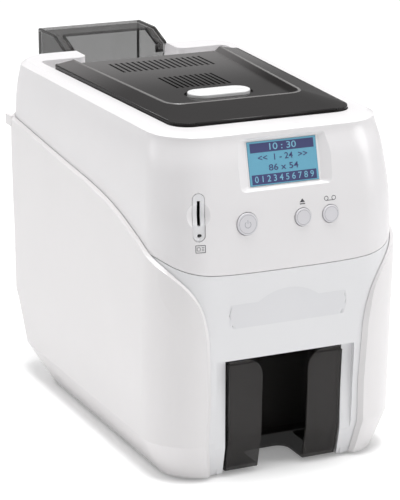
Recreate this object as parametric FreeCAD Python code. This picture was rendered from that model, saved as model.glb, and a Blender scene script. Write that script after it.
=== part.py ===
import FreeCAD, Part
import math
import os

# ID card printer. Millimetres, X to the right, Y to the back, Z up.
# The origin is the middle of the footprint, on the floor.

V = FreeCAD.Vector
X_AXIS = V(1, 0, 0)
Y_AXIS = V(0, 1, 0)
Z_AXIS = V(0, 0, 1)
ORIGIN = V(0, 0, 0)

# General values
OVER = 5.0            # overrun of every cut
REST_GAP = 0.3        # clearance between parts that stay put
SHAFT_FIT = 0.05      # radial clearance of a turning shaft
FAR = 400.0           # reach of a half-space block
HALF = 0.5
SMALL_R = 1.0         # corner radius of notches and cut-outs
MIDDLE_Y = 1.69       # middle of the footprint in the layout's own Y
RIGHT_ANGLE = 90.0
FULL_TURN = 360.0

# Body outline: z_front, z_rear, y_front, y_rear, half_front, half_rear, r_front, r_rear
LOW_SECTIONS = (
    (2.5, 2.5, -174.8, 72.5, 83.0, 83.0, 26.0, 14.0),
    (29.0, 29.0, -180.6, 99.5, 95.7, 95.7, 34.0, 14.0),
    (61.0, 61.0, -182.4, 118.5, 95.7, 95.7, 35.0, 14.0),
    (68.0, 68.0, -182.8, 124.2, 95.7, 95.7, 35.0, 14.0),
)
HIGH_SECTIONS = (
    (68.0, 68.0, -182.8, 124.2, 95.7, 95.7, 35.0, 14.0),
    (106.5, 106.5, -184.3, 124.6, 95.7, 95.7, 35.0, 14.0),
    (157.5, 157.5, -186.6, 127.0, 95.7, 95.7, 35.0, 14.0),
    (192.5, 192.5, -185.0, 127.6, 95.7, 95.7, 35.0, 14.0),
    (214.5, 214.9, -181.4, 127.4, 94.5, 95.7, 35.0, 15.5),
    (235.5, 237.2, -176.3, 126.3, 92.0, 95.8, 35.4, 19.5),
    (254.0, 257.5, -171.5, 122.5, 88.5, 95.8, 36.0, 26.0),
)
HIGH_COUNT = 14
RIM_SECTION = (256.6, 260.6, -167.0, 120.0, 83.5, 91.0, 32.0, 23.0)
WALL = 3.0
COVER_GAP = 0.4
COVER_WALL = 3.0
UNDER_DROP = 1.0      # inner form reaches this far below the body

# Seam between upper cover and front panel, seen from the front as (x, z) of one half
SEAM_HALF = ((0, 156.4), (40.0, 156.7), (57.3, 157.6), (69.7, 159.3), (80.3, 162.1), (87.6, 165.4),
             (93.4, 169.0), (98.0, 171.0), (106.0, 173.0))
SEAM_GAP = 0.5

# Opening for the lid, hinge bay and rear notch
LID_GAP = 0.8
BAY_REAR_Y = 95.0
BAY_CORNER_R = 6.0
NOTCH_HALF = 40.0
NOTCH_TIP_R = 7.0
NOTCH_END_Y = 140.0
BAY_START_Y = 68.0
BAY_FLOOR = 2.2
BAY_WALL = 2.2

# Heights of the lid over the rim, and of what hangs from it
LID_FRONT_PROUD = 2.8
LID_REAR_PROUD = 2.2
LID_SKIRT = 7.2
HINGE_DROP = 9.3
BAY_DROP = 9.5
LATCH_DROP = 0.8
TOP_PLATE_DROP = 1.9
LID_FRONT_Z = RIM_SECTION[0] + LID_FRONT_PROUD
LID_REAR_Z = RIM_SECTION[1] + LID_REAR_PROUD
SKIRT_Z = LID_FRONT_Z - LID_SKIRT
HINGE_Z = LID_REAR_Z - HINGE_DROP
BAY_FLOOR_Z = HINGE_Z - BAY_DROP
TOP_PLATE_TOP_Z = LID_FRONT_Z - TOP_PLATE_DROP
LATCH_TOP_Z = SKIRT_Z - LATCH_DROP

# Ledges the closed lid lies on
LEDGE_X = (14.0, 50.0)
LEDGE_Y = (-152.6, -145.4)
LEDGE_WEB_Y = -149.6
LEDGE_T = 3.0
LEDGE_WEB_RISE = 3.1
LEDGE_TOP_Z = SKIRT_Z - REST_GAP

# Display
LCD_Z = 232.9
LCD_TILT = 13.7
LCD_POCKET_HALF_X = 36.8
LCD_POCKET_HALF_Z = 19.4
LCD_POCKET_R = 3.6
LCD_POCKET_DEPTH = 3.2
LCD_HALF_X = 27.4
LCD_HALF_Z = 15.9
LCD_POCKET_RIM_X = 29.0
LCD_POCKET_RIM_Z = 16.8
LCD_POCKET_RIM_R = 1.6
LCD_BACK_HALF_X = 40.0
LCD_BACK_HALF_Z = 20.4
LCD_BACK_FROM = 1.0
LCD_BACK_TO = 6.2
LCD_WINDOW_PROUD = 0.3
LCD_MODULE_HALF_X = 33.0
LCD_MODULE_HALF_Z = 19.5
LCD_MODULE_T = 4.6

# Front buttons: node, x, cap radius
BUTTONS = (("power_button", -33.1, 8.0), ("eject_button", 11.0, 6.4), ("ribbon_button", 33.2, 6.4))
BUTTON_Z = 192.4
BUTTON_TILT = 6.2
BUTTON_PROUD = 1.2
BUTTON_SIDE_GAP = 0.45
BUTTON_EDGE_R = 0.6
BUTTON_FLANGE = 1.6
BUTTON_FLANGE_AT = 3.8
BUTTON_FLANGE_T = 1.3
BUTTON_STEM_R = 1.6
BUTTON_STEM_T = 0.9
BOARD_AT = 7.4
BOARD_T = 1.6
BOARD_HALF_X = 46.0
BOARD_HALF_Z = 10.5
BOARD_POSTS_X = (-14.0, 22.1)
BOARD_POST_R = 2.4
BOARD_POST_FROM = 1.5

# Key slot on the rounded front corner
KEY_X = -69.5
KEY_Z = 200.3
KEY_YAW = -15.5
KEY_HALF_W = 4.25
KEY_HALF_H = 16.9
KEY_DISH_R = 10.3
KEY_DISH_DEPTH = 3.2
KEY_DISH_Z = 2.3
KEY_HOLE_DEPTH = 8.0
KEY_SUNK = 1.3
KEY_BEZEL_T = 3.2
KEY_SLOT_HALF_W = 1.15
KEY_SLOT_Z = (-6.0, 11.9)
KEY_LED_Z = -12.8
KEY_LED_R = 1.25
KEY_READER_HALF_W = 7.0
KEY_READER_HALF_H = 15.5
KEY_READER_LEN = 26.0
KEY_READER_SLOT_LEN = 22.0

# Nameplate inlay
PLATE_TOP_Z = 133.5
PLATE_BOTTOM_Z = 116.0
PLATE_TOP_HALF = 45.3
PLATE_BOTTOM_HALF = 43.6
PLATE_SIDE_HALF = 46.9
PLATE_SIDE_Z = 126.0
PLATE_ARCH_HALF = 23.5
PLATE_ARCH_Z = 141.5
PLATE_DEPTH = 1.2

# Hopper bay in the front panel
REBATE_HALF = 55.5
REBATE_TOP_Z = 91.4
REBATE_Y = -179.4
REBATE_BACK_Y = -175.6
REBATE_EDGE = 2.6
BAY_HOLE_HALF = 46.9
BAY_HOLE_TOP_Z = 90.6
RAIL_WALL_X = (49.6, 51.6)
RAIL_WALL_END_Y = -122.0
RAIL_WALL_TOP_Z = 88.0
RAIL_INNER_X = 38.0
RAIL_Z = (1.3, 3.3)
RAIL_START_Y = -160.0
PANEL_BACK_Y = -150.0

# Output hopper
OUT_TOP_Z = 89.8
OUT_KNEE_Z = 29.2
OUT_BOTTOM_Z = 3.6
OUT_TOP_Y = -183.1
OUT_KNEE_Y = -180.8
OUT_BOTTOM_Y = -174.8
OUT_REAR_Y = -124.5
OUT_TOP_HALF = 46.0
OUT_BOTTOM_HALF = 44.8
OUT_WALL = 1.9
OUT_GAP_HALF = 18.5
OUT_GAP_R = 13.0
OUT_NOTCH_Y = -145.0
OUT_NOTCH_R = 9.0
OUT_RIM_STEP = 0.7
OUT_RIM_H = 2.4

# Side covers: bevelled lip. Outer and inner edge as (y, z, y, z) along the side,
# then as (angle, z, angle, z) round the corner
LIP_SIDE = ((140.0, 213.2, 138.0, 214.6), (96.3, 208.7, 94.3, 210.0), (47.4, 204.0, 45.4, 205.3),
            (11.1, 200.6, 9.0, 201.9), (-26.2, 197.4, -28.5, 198.7), (-60.2, 193.9, -62.5, 195.3),
            (-88.3, 189.3, -90.6, 190.7), (-109.8, 184.1, -112.0, 185.4), (-130.0, 177.9, -132.1, 179.2))
LIP_CORNER = ((3.0, 171.6, 4.0, 172.8), (21.2, 166.9, 25.0, 167.9), (38.0, 161.8, 43.6, 162.4),
              (50.3, 156.7, 57.1, 156.4), (61.1, 150.8, 68.7, 150.0), (68.5, 145.2, 75.9, 144.0),
              (77.0, 135.6, 82.6, 134.0), (82.4, 123.0, 87.6, 121.0), (85.0, 108.0, 90.2, 106.0))
LIP_CENTRE = (-60.7, -148.3)
LIP_RADIUS = 38.4
LIP_OVER_SHARE = 0.5
LIP_REAR_SHARES = (3.5, 3.5, 3.0, 2.0, 1.3, 0.8, 0.6, 0.5, 0.5)
LIP_END_REACH = 40.0
LIP_FOOT_SHIFT = 6.4
COVER_WRAP_X = 80.0
COVER_BOTTOM_Z = 2.5
COVER_REAR = ((121.6, 260.0), (121.6, 66.0), (117.5, 58.5), (101.5, 26.5), (86.0, 11.0), (76.0, 2.5))
TAB_Y = (116.0, 129.0)
TAB_Z = (204.0, 212.4)
TAB_X = (96.2, 99.1)

# Rear panel
REAR_SPLIT_Y = 98.0
REAR_LOW_Y = 70.0
REAR_LOW_Z = 40.0
REAR_WINDOW_HALF = 72.0
REAR_WINDOW_Z = (95.5, 143.0)

# Base pan and feet
PAN_Z = (2.5, 5.0)
PAN_BAY_HALF = 52.4
PAN_BAY_Y = -119.0
FEET = (("foot_front_left", -66.0, -134.0), ("foot_front_right", 66.0, -134.0),
        ("foot_rear_left", -62.0, 52.0), ("foot_rear_right", 62.0, 52.0))
FOOT_R = 8.0
FOOT_TAPER = 1.0

# Chassis plates
PLATE_IN = 55.0
PLATE_OUT = 57.0
PLATE_OUTLINE = ((-114.0, 5.0), (68.0, 5.0), (110.0, 68.0), (110.0, 104.0), (176.0, 104.0),
                 (176.0, 129.4), (119.5, 129.4), (119.5, 150.0), (-131.0, 150.0), (-131.0, 97.0),
                 (-114.0, 97.0))
PLATE_LIGHTENING = ((-70.0, 55.0, 17.5), (55.0, 60.0, 16.0))
CROSS_Y = (-112.0, -110.5)
CROSS_Z = (5.0, 92.0)

# Card guide
GUIDE_Z = (126.6, 129.6)
GUIDE_Y = (-131.0, 119.5)
GUIDE_WINDOW_HALF_X = 42.8
GUIDE_WINDOW_HALF_Y = 7.8
FENCE_X = (43.4, 47.0)
FENCE_TOP_Z = 132.0

# Rollers
LINE_Z = 130.0
FEED_R = 7.0
FEED_AXIS_Z = 123.0
SHAFT_R = 3.0
SLEEVE_HALF = 42.0
SLEEVE_BANDS = ((-38.0, -14.0), (14.0, 38.0))
SHAFT_LEFT_X = -60.0
PINCH_R = 5.0
PINCH_SHAFT_R = 2.5
PINCH_HALF = 58.6
FEED_NODES = (("feed_roller_rear", 112.0), ("feed_roller_centre", 64.0),
              ("feed_roller_front", -29.0), ("feed_roller_exit", -75.0), ("exit_roller", -121.0))
PINCH_NODES = (("cleaning_roller", 112.0), ("pinch_roller_centre", 64.0),
               ("pinch_roller_front", -29.0), ("pinch_roller_exit", -75.0),
               ("exit_pinch_roller", -121.0))
PLATEN_Y = 17.0
PICK_Y = 159.0
PICK_HALF = 15.0

# Belt drive
PULLEY_R = 8.0
PULLEY_X = (60.9, 68.1)
PULLEY_FLANGE_R = 10.4
PULLEY_FLANGE_T = 1.0
PULLEY_GROOVES = 20
PULLEY_GROOVE_R = 0.55
BELT_X = (61.4, 67.6)
BELT_GAP = 0.3
BELT_T = 1.4
MOTOR_AXIS = (-6.0, 80.0)
MOTOR_HALF = 21.1
MOTOR_X = (14.0, 55.0)
MOTOR_CHAMFER = 4.0
MOTOR_BOSS_R = 11.0
MOTOR_BOSS_T = 2.0
MOTOR_SHAFT_R = 2.5
MOTOR_SHAFT_X = 42.0

# Lid
LID_FRONT_Y = -148.0
LID_REAR_Y = 67.0
LID_FRONT_HALF = 70.5
LID_REAR_HALF = 79.7
LID_FRONT_R = 15.0
LID_REAR_R = 3.0
LID_RISE = 2.4
RIDGE_FRONT_Y = -102.0
RIDGE_REAR_Y = 66.4
RIDGE_FRONT_HALF = 54.0
RIDGE_REAR_HALF = 64.9
RIDGE_R = 12.0
RIDGE_REAR_R = 1.5
RIDGE_FLAT = 1.4
DISH_SLOPE = 3.4
DISH_DEPTH = 3.2
LID_FLOOR_T = 2.2
LID_SKIN = 2.4
VENTS = ((17, 76.4, 22.5, 54.2, 2.2), (11, 43.4, -41.7, -4.4, 2.0))
LID_BOSSES = ((-44.0, -26.0), (44.0, -26.0), (-44.0, 58.0), (44.0, 58.0))
LID_BOSS_R = 4.0

# Lid hinge
HINGE_Y = 73.0
HINGE_R = 4.4
PIN_R = 2.0
PIN_HALF = 72.0
EAR_X = (60.0, 66.0)
EAR_Y = 62.0
EAR_DROP = 2.9
EAR_RISE = 3.5
LUGS_X = ((55.0, 59.4), (66.6, 70.4))
LUG_HALF_Y = 4.4

# Lid release button and latch
RELEASE_Y = -67.0
RELEASE_HALF_X = 25.0
RELEASE_HALF_Y = 11.0
RELEASE_GAP = 0.6
RELEASE_PROUD = 2.1
RELEASE_FLANGE_GAP = 0.6
RELEASE_FLANGE_T = 1.5
RELEASE_FLANGE_OUT = 2.0
RELEASE_EDGE_R = 1.2
WELL_MARGIN = 2.2
WELL_DEPTH = 1.0
POST_Y = (-72.0, -66.0)
POST_RUN = 3.0
POST_HALF = 3.5
LATCH_HALF = 7.0
LATCH_Y = (-146.9, -54.0)
LATCH_T = 2.0
LATCH_WINDOW_Y = (-77.0, -65.7)
LATCH_WINDOW_HALF = 4.2
LATCH_RAIL_Y = (-135.0, -96.0)
LATCH_RAIL_X = (7.3, 9.3)
LATCH_RAIL_LIP = 5.4
LATCH_RAIL_T = 1.9

# Head bracket, carried by the lid
CHEEK_X = (52.5, 54.0)
CHEEK_Y = (-33.0, 63.8)
CHEEK_FOOT_Z = 150.0
CHEEK_TOE = ((6.0, 150.0), (8.0, 138.0), (26.0, 138.0), (28.0, 150.0))
CHEEK_WINDOWS_Y = ((-22.0, 12.0), (21.0, 55.0))
CHEEK_WINDOW_FOOT_Z = 196.0
CHEEK_WINDOW_DROP = 13.5
TOP_PLATE_T = 2.0
BEAM_Y = (11.0, 23.0)
BEAM_Z = (176.0, 184.0)
HANGER_X = (-43.8, -42.2)
HANGER_Y = (-24.0, -2.0)
HANGER_Z = 180.8

# Print head
HEAD_EDGE_Z = 131.3
HEAD_EDGE_HALF = 1.0
HEAD_SHOULDER_Z = 139.0
HEAD_HALF_Y = 7.0
HEAD_HALF_X = 46.0
HEAD_LOW_HALF_X = 43.0
HEAD_LOW_Z = 134.5
HEAD_FIN_Z = 160.0
HEAD_FIN_COUNT = 12
HEAD_FIN_SLOT = 3.0

# Ribbon cassette
SUPPLY = (47.0, 168.0)
TAKEUP = (-13.0, 168.0)
SUPPLY_R = 18.0
TAKEUP_R = 11.0
ROLL_HALF = 44.5
SPOOL_SHAFT_R = 3.0
SPOOL_END = 51.4
CASSETTE_X = (49.2, 51.6)
CASSETTE_PAD_R = 5.0
CASSETTE_END_R = 22.0
CASSETTE_BAR_Z = (158.0, 172.0)
FRONT_TIE_Y = (-32.5, -29.5)
FRONT_TIE_Z = (177.0, 181.0)
REAR_TIE_Y = (61.0, 63.8)
REAR_TIE_Z = (181.0, 185.0)
FILM_HALF = 43.0
FILM_T = 0.3
FILM_GAP = 0.35
FILM_BOTTOM_Z = 130.6

# Ribbon gears
GEAR_MODULE = 0.8
GEAR_TEETH = 40
PINION_TEETH = 14
GEAR_X = (-48.4, -45.6)
GEAR_CLEAR = 0.25
TOOTH_ROOT_SHARE = 0.62
TOOTH_TIP_SHARE = 0.3
RIBBON_MOTOR_R = 9.0
RIBBON_MOTOR_X = (-42.2, -18.0)
PINION_SHAFT_R = 1.5
PINION_SHAFT_X = -30.0
HANGER_HOLE_R = 2.6

# Feeder base and input hopper
BASE_X = (-63.0, 75.0)   # the left end leaves the sockets' way free
BASE_Y = (128.4, 191.2)
BASE_Z = (94.0, 129.6)
BASE_WALL = 2.4
BASE_R = 14.0
BASE_SLOT_X = (54.7, 57.3)
BASE_SLOT_Y = 176.6
BASE_WINDOW_HALF_X = 17.0
BASE_WINDOW_HALF_Y = 9.0
HOPPER_OUT = 45.8
HOPPER_IN = 43.5
HOPPER_FRONT_Y = 132.2
HOPPER_INNER_Y = (134.4, 188.9)
HOPPER_REAR_Y = 191.2
HOPPER_TOP_Z = 267.4
HOPPER_FRONT_TOP_Z = 206.0
HOPPER_GATE_Z = 131.6
HOPPER_ROOF_Y = 156.0
HOPPER_ROOF_T = 2.2
HOPPER_NOSE_Z = 258.6
HOPPER_FLANGE = 9.5
HOPPER_NOSE_DROP = 8.0
HOPPER_EDGE_R = 2.0

# Card weight
WEIGHT_HALF = 42.4
WEIGHT_Y = (136.4, 186.9)
WEIGHT_Z = (130.4, 136.4)
WEIGHT_GRIP_HALF = 12.0
WEIGHT_GRIP_Y = (158.4, 164.9)
WEIGHT_GRIP_TOP_Z = 148.4
WEIGHT_R = 4.0

# Electronics
MAIN_BOARD_X = (-66.0, -64.4)
MAIN_BOARD_Y = (-40.0, 108.0)
MAIN_BOARD_Z = (66.0, 134.0)
STANDOFFS = ((-34.0, 72.0), (98.0, 72.0), (-34.0, 115.0), (98.0, 115.0))
STANDOFF_R = 2.6
CHIPS = ((-20.0, 90.0, 9.0, 9.0), (20.0, 96.0, 11.0, 7.0), (50.0, 84.0, 6.0, 8.0))
CHIP_T = 1.6
CONNECTORS = ((-34.0, 126.0, 8.0, 3.0), (5.0, 128.0, 12.0, 3.0), (40.0, 127.0, 10.0, 3.0))
CONNECTOR_T = 7.0
PORT_FRONT_Y = 106.0
PORT_END_Y = 125.0
PORT_GAP = 0.35
POWER_PORT = (-77.0, 73.0, 83.0)
POWER_PORT_BORE_R = 3.2
POWER_PORT_PIN_R = 1.0
POWER_PORT_DEPTH = 9.0
USB_PORT = (-78.0, 92.5, 103.5)
USB_HALF_X = 4.2
USB_HALF_Z = 3.9
USB_DEPTH = 9.0
USB_TONGUE_X = 2.8
USB_TONGUE_Z = 1.5
NETWORK_PORT = (-82.0, 112.5, 126.0)
NETWORK_HALF_X = 5.9
NETWORK_HALF_Z = 4.1
NETWORK_DEPTH = 12.0


def box(x0, x1, y0, y1, z0, z1):
    return Part.makeBox(x1 - x0, y1 - y0, z1 - z0, V(x0, y0, z0))


def rod(radius, start, axis, length):
    return Part.makeCylinder(radius, length, start, axis)


def rod_x(radius, x0, x1, y, z):
    return rod(radius, V(x0, y, z), X_AXIS, x1 - x0)


def join(shapes):
    solid = shapes[0].fuse(list(shapes[1:]))
    return solid.removeSplitter()


def polygon_face(points):
    return Part.Face(Part.makePolygon(points + [points[0]]))


def prism_x(outline, x0, x1):
    return polygon_face([V(x0, y, z) for y, z in outline]).extrude(V(x1 - x0, 0, 0))


def prism_y(outline, y0, y1):
    return polygon_face([V(x, y0, z) for x, z in outline]).extrude(V(0, y1 - y0, 0))


def unit(dx, dy):
    length = math.hypot(dx, dy)
    return dx / length, dy / length


def corner_points(before, at, after):
    """Start, middle and end of the arc that rounds one corner, in plan."""
    ax, ay = unit(before[0] - at[0], before[1] - at[1])
    bx, by = unit(after[0] - at[0], after[1] - at[1])
    half_angle = math.acos(ax * bx + ay * by) * HALF
    reach = at[-1] / math.tan(half_angle)
    mx, my = unit(ax + bx, ay + by)
    away = at[-1] / math.sin(half_angle) - at[-1]
    start = (at[0] + ax * reach, at[1] + ay * reach)
    middle = (at[0] + mx * away, at[1] + my * away)
    end = (at[0] + bx * reach, at[1] + by * reach)
    return start, middle, end


def rounded_wire(corners, height):
    """Closed wire through (x, y, radius) corners, lifted to height(y)."""
    count = len(corners)
    arcs = [corner_points(corners[i - 1], corners[i], corners[(i + 1) % count]) for i in range(count)]
    lifted = [[V(x, y, height(y)) for x, y in arc] for arc in arcs]
    edges = []
    for i in range(count):
        start, middle, end = lifted[i]
        edges.append(Part.Arc(start, middle, end).toShape())
        edges.append(Part.makeLine(end, lifted[(i + 1) % count][0]))
    return Part.Wire(edges)


def plan_prism(corners, z0, z1):
    wire = rounded_wire(corners, lambda y: z0)
    return Part.Face(wire).extrude(V(0, 0, z1 - z0))


def mirrored(shape):
    return shape.mirror(ORIGIN, X_AXIS)


def both_sides(shape):
    return [shape, mirrored(shape)]


# Body envelope
def slopes(knots, values):
    rates = [(values[i + 1] - values[i]) / (knots[i + 1] - knots[i]) for i in range(len(knots) - 1)]
    inner = [0 if a * b <= 0 else a * b / ((a + b) * HALF) for a, b in zip(rates, rates[1:])]
    return [rates[0]] + inner + [rates[-1]]


def smooth_value(knots, values, at):
    """Monotone cubic curve through the values."""
    rates = slopes(knots, values)
    i = max(k for k in range(len(knots) - 1) if knots[k] <= at or k == 0)
    step = knots[i + 1] - knots[i]
    t = (at - knots[i]) / step
    near = (1 - t) ** 2
    far = t ** 2
    ends = values[i] * near * (1 + t + t) + values[i + 1] * far * (1 + (1 - t) + (1 - t))
    return ends + step * (rates[i] * t * near - rates[i + 1] * far * (1 - t))


def high_sections():
    knots = [s[0] for s in HIGH_SECTIONS]
    sections = []
    for i in range(HIGH_COUNT):
        z = knots[0] + (knots[-1] - knots[0]) * i / (HIGH_COUNT - 1)
        sections.append([smooth_value(knots, column, z) for column in zip(*HIGH_SECTIONS)])
    return sections


def section_wire(section, out, down):
    z_front, z_rear, y_front, y_rear, half_front, half_rear, r_front, r_rear = section
    y0 = y_front - out
    y1 = y_rear + out
    slope = (z_rear - z_front) / (y1 - y0)
    hf = half_front + out
    hr = half_rear + out
    corners = ((-hf, y0, r_front + out), (hf, y0, r_front + out),
               (hr, y1, r_rear + out), (-hr, y1, r_rear + out))
    return rounded_wire(corners, lambda y: z_front - down + slope * (y - y0))


def closed_solid(skins, bottom, top):
    faces = [Part.Face(bottom), Part.Face(top)]
    for skin in skins:
        faces += skin.Faces
    shell = Part.makeShell(faces)
    shell.sewShape()
    solid = Part.makeSolid(shell)
    if solid.Volume < 0:
        solid.reverse()
    return solid


def low_wires(out, drop):
    return ([section_wire(LOW_SECTIONS[0], out, drop)]
            + [section_wire(s, out, 0) for s in LOW_SECTIONS[1:]])


def high_wires(out, down):
    sections = high_sections()
    return [section_wire(s, out, 0) for s in sections[:-1]] + [section_wire(sections[-1], out, down)]


def envelope(out, down, drop):
    """Body form grown by out, its top lowered by down and its foot by drop."""
    low = low_wires(out, drop)
    high = high_wires(out, down)
    rim = section_wire(RIM_SECTION, out, down)
    skins = [Part.makeLoft(low, False, True), Part.makeLoft(high, False, False),
             Part.makeLoft([high[-1], rim], False, True)]
    return closed_solid(skins, low[0], rim)


def girdle(out, drop):
    """Body form grown by out, up to the shoulder."""
    low = low_wires(out, drop)
    high = high_wires(out, 0)
    skins = [Part.makeLoft(low, False, True), Part.makeLoft(high, False, False)]
    return closed_solid(skins, low[0], high[-1])


def surface_y(body, x, z):
    line = Part.makeLine(V(x, -FAR, z), V(x, 0, z))
    return line.common(body).BoundBox.YMin


def facing(body, x, z, tilt, yaw):
    """Placement with local +Y pointing into the body at a point of its front."""
    turn = FreeCAD.Rotation(Z_AXIS, yaw).multiply(FreeCAD.Rotation(X_AXIS, -tilt))
    return FreeCAD.Placement(V(x, surface_y(body, x, z), z), turn)


def placed(shape, placement):
    moved = shape.copy()
    moved.Placement = placement.multiply(moved.Placement)
    return moved


def seam_block(raise_by):
    """Everything above the seam."""
    half = [V(x, -FAR, z + raise_by) for x, z in SEAM_HALF]
    points = [V(-p.x, p.y, p.z) for p in half[:0:-1]] + half
    curve = Part.BSplineCurve()
    curve.interpolate(points)
    top_right = V(points[-1].x, -FAR, FAR)
    top_left = V(points[0].x, -FAR, FAR)
    edges = [curve.toShape(), Part.makeLine(points[-1], top_right), Part.makeLine(top_right, top_left),
             Part.makeLine(top_left, points[0])]
    return Part.Face(Part.Wire(edges)).extrude(V(0, FAR + FAR, 0))


def lid_half(y):
    share = (y - LID_FRONT_Y) / (LID_REAR_Y - LID_FRONT_Y)
    return LID_FRONT_HALF + share * (LID_REAR_HALF - LID_FRONT_HALF)


def lid_z(y):
    share = (y - LID_FRONT_Y) / (LID_REAR_Y - LID_FRONT_Y)
    return LID_FRONT_Z + share * (LID_REAR_Z - LID_FRONT_Z)


def top_opening(grow, z0, z1):
    front_y = LID_FRONT_Y - LID_GAP - grow
    rear_y = BAY_REAR_Y + grow
    front_half = lid_half(front_y) + LID_GAP + grow
    rear_half = lid_half(rear_y) + LID_GAP + grow
    notch = NOTCH_HALF + grow
    front_r = LID_FRONT_R + LID_GAP + grow
    inner_r = NOTCH_TIP_R - grow
    corners = ((-front_half, front_y, front_r), (front_half, front_y, front_r),
               (rear_half, rear_y, BAY_CORNER_R + grow), (notch, rear_y, inner_r),
               (notch, NOTCH_END_Y, SMALL_R), (-notch, NOTCH_END_Y, SMALL_R),
               (-notch, rear_y, inner_r), (-rear_half, rear_y, BAY_CORNER_R + grow))
    return plan_prism(corners, z0, z1)


# Upper cover
def hinge_lugs():
    lugs = []
    for x0, x1 in LUGS_X:
        web = box(x0, x1, HINGE_Y - LUG_HALF_Y, HINGE_Y + LUG_HALF_Y, BAY_FLOOR_Z - BAY_FLOOR, HINGE_Z)
        lug = web.fuse(rod_x(HINGE_R, x0, x1, HINGE_Y, HINGE_Z))
        lugs += both_sides(lug)
    return lugs


def lid_ledges():
    low = LEDGE_TOP_Z - LEDGE_T
    shelf = box(LEDGE_X[0], LEDGE_X[1], LEDGE_Y[0], LEDGE_Y[1], low, LEDGE_TOP_Z)
    web = box(LEDGE_X[0], LEDGE_X[1], LEDGE_Y[0], LEDGE_WEB_Y, low, LEDGE_TOP_Z + LEDGE_WEB_RISE)
    return both_sides(shelf.fuse(web))


def pocket_wire(half_x, half_z, radius, depth):
    """Rounded rectangle that faces the front, at a depth."""
    corners = ((-half_x, -half_z, radius), (half_x, -half_z, radius),
               (half_x, half_z, radius), (-half_x, half_z, radius))
    wire = rounded_wire(corners, lambda y: -depth)
    wire.rotate(ORIGIN, X_AXIS, RIGHT_ANGLE)
    return wire


def display_pocket():
    outer = pocket_wire(LCD_POCKET_HALF_X, LCD_POCKET_HALF_Z, LCD_POCKET_R, 0)
    inner = pocket_wire(LCD_POCKET_RIM_X, LCD_POCKET_RIM_Z, LCD_POCKET_RIM_R, LCD_POCKET_DEPTH)
    bevel = Part.makeLoft([outer, inner], True, True)
    return bevel.fuse(Part.Face(outer).extrude(V(0, -OVER, 0)))


def key_outline(half_w, half_h, y0, y1):
    mid = box(-half_w, half_w, y0, y1, half_w - half_h, half_h - half_w)
    caps = [rod(half_w, V(0, y0, side * (half_h - half_w)), Y_AXIS, y1 - y0) for side in (-1, 1)]
    return mid.fuse(caps)


def key_dish():
    """Shallow round hollow for a finger and a thumb."""
    ball = (KEY_DISH_R ** 2 + KEY_DISH_DEPTH ** 2) / (KEY_DISH_DEPTH + KEY_DISH_DEPTH)
    return Part.makeSphere(ball, V(0, KEY_DISH_DEPTH - ball, KEY_DISH_Z))


def upper_cover(outer, inner, frames):
    shell = outer.cut(inner)
    floor_low = BAY_FLOOR_Z - BAY_FLOOR
    tub = top_opening(BAY_WALL, floor_low, LID_REAR_Z)
    keep = box(-FAR, FAR, BAY_START_Y, FAR, floor_low, FAR)
    tub = tub.common(keep).common(outer)
    lcd_back = box(-LCD_BACK_HALF_X, LCD_BACK_HALF_X, LCD_BACK_FROM, LCD_BACK_TO,
                   -LCD_BACK_HALF_Z, LCD_BACK_HALF_Z)
    lcd_back = placed(lcd_back, frames["lcd"]).common(outer)
    posts = []
    for x in BOARD_POSTS_X:
        post = rod(BOARD_POST_R, V(x, BOARD_POST_FROM, 0), Y_AXIS, BOARD_AT - BOARD_POST_FROM)
        posts.append(placed(post, frames["buttons"]))
    solid = shell.fuse([tub, lcd_back] + posts)
    solid = solid.cut(top_opening(0, BAY_FLOOR_Z, FAR))
    solid = solid.fuse(hinge_lugs() + lid_ledges())
    cuts = [rod_x(PIN_R + SHAFT_FIT, -FAR, FAR, HINGE_Y, HINGE_Z).common(
        box(-LUGS_X[1][1], LUGS_X[1][1], 0, FAR, 0, FAR))]
    cuts.append(placed(display_pocket(), frames["lcd"]))
    hole = box(-LCD_HALF_X, LCD_HALF_X, -OVER, LCD_BACK_TO + OVER, -LCD_HALF_Z, LCD_HALF_Z)
    cuts.append(placed(hole, frames["lcd"]))
    for node, x, radius in BUTTONS:
        bore = rod(radius + BUTTON_SIDE_GAP, V(0, -OVER, 0), Y_AXIS, OVER + OVER + WALL)
        cuts.append(placed(bore, frames[node]))
    cuts.append(placed(key_dish(), frames["key"]))
    key_hole = key_outline(KEY_HALF_W + REST_GAP, KEY_HALF_H + REST_GAP, -OVER, KEY_HOLE_DEPTH)
    cuts.append(placed(key_hole, frames["key"]))
    solid = solid.cut(cuts)
    return solid.common(seam_block(0)).removeSplitter()


# Display and front controls
def lcd_window(frames):
    edge = REST_GAP
    plate = box(edge - LCD_HALF_X, LCD_HALF_X - edge, LCD_POCKET_DEPTH - LCD_WINDOW_PROUD, LCD_BACK_TO,
                edge - LCD_HALF_Z, LCD_HALF_Z - edge)
    return placed(plate, frames["lcd"])


def lcd_module(frames):
    plate = box(-LCD_MODULE_HALF_X, LCD_MODULE_HALF_X, LCD_BACK_TO, LCD_BACK_TO + LCD_MODULE_T,
                -LCD_MODULE_HALF_Z, LCD_MODULE_HALF_Z)
    return placed(plate, frames["lcd"])


def front_button(radius, frame):
    cap = rod(radius, V(0, -BUTTON_PROUD, 0), Y_AXIS, BUTTON_PROUD + BUTTON_FLANGE_AT)
    front_edges = [e for e in cap.Edges if e.BoundBox.YMax < 0 and len(e.Vertexes) == 1]
    cap = cap.makeFillet(BUTTON_EDGE_R, front_edges)
    flange = rod(radius + BUTTON_FLANGE, V(0, BUTTON_FLANGE_AT, 0), Y_AXIS, BUTTON_FLANGE_T)
    stem = rod(BUTTON_STEM_R, V(0, BUTTON_FLANGE_AT + BUTTON_FLANGE_T, 0), Y_AXIS, BUTTON_STEM_T)
    return placed(join([cap, flange, stem]), frame)


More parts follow.
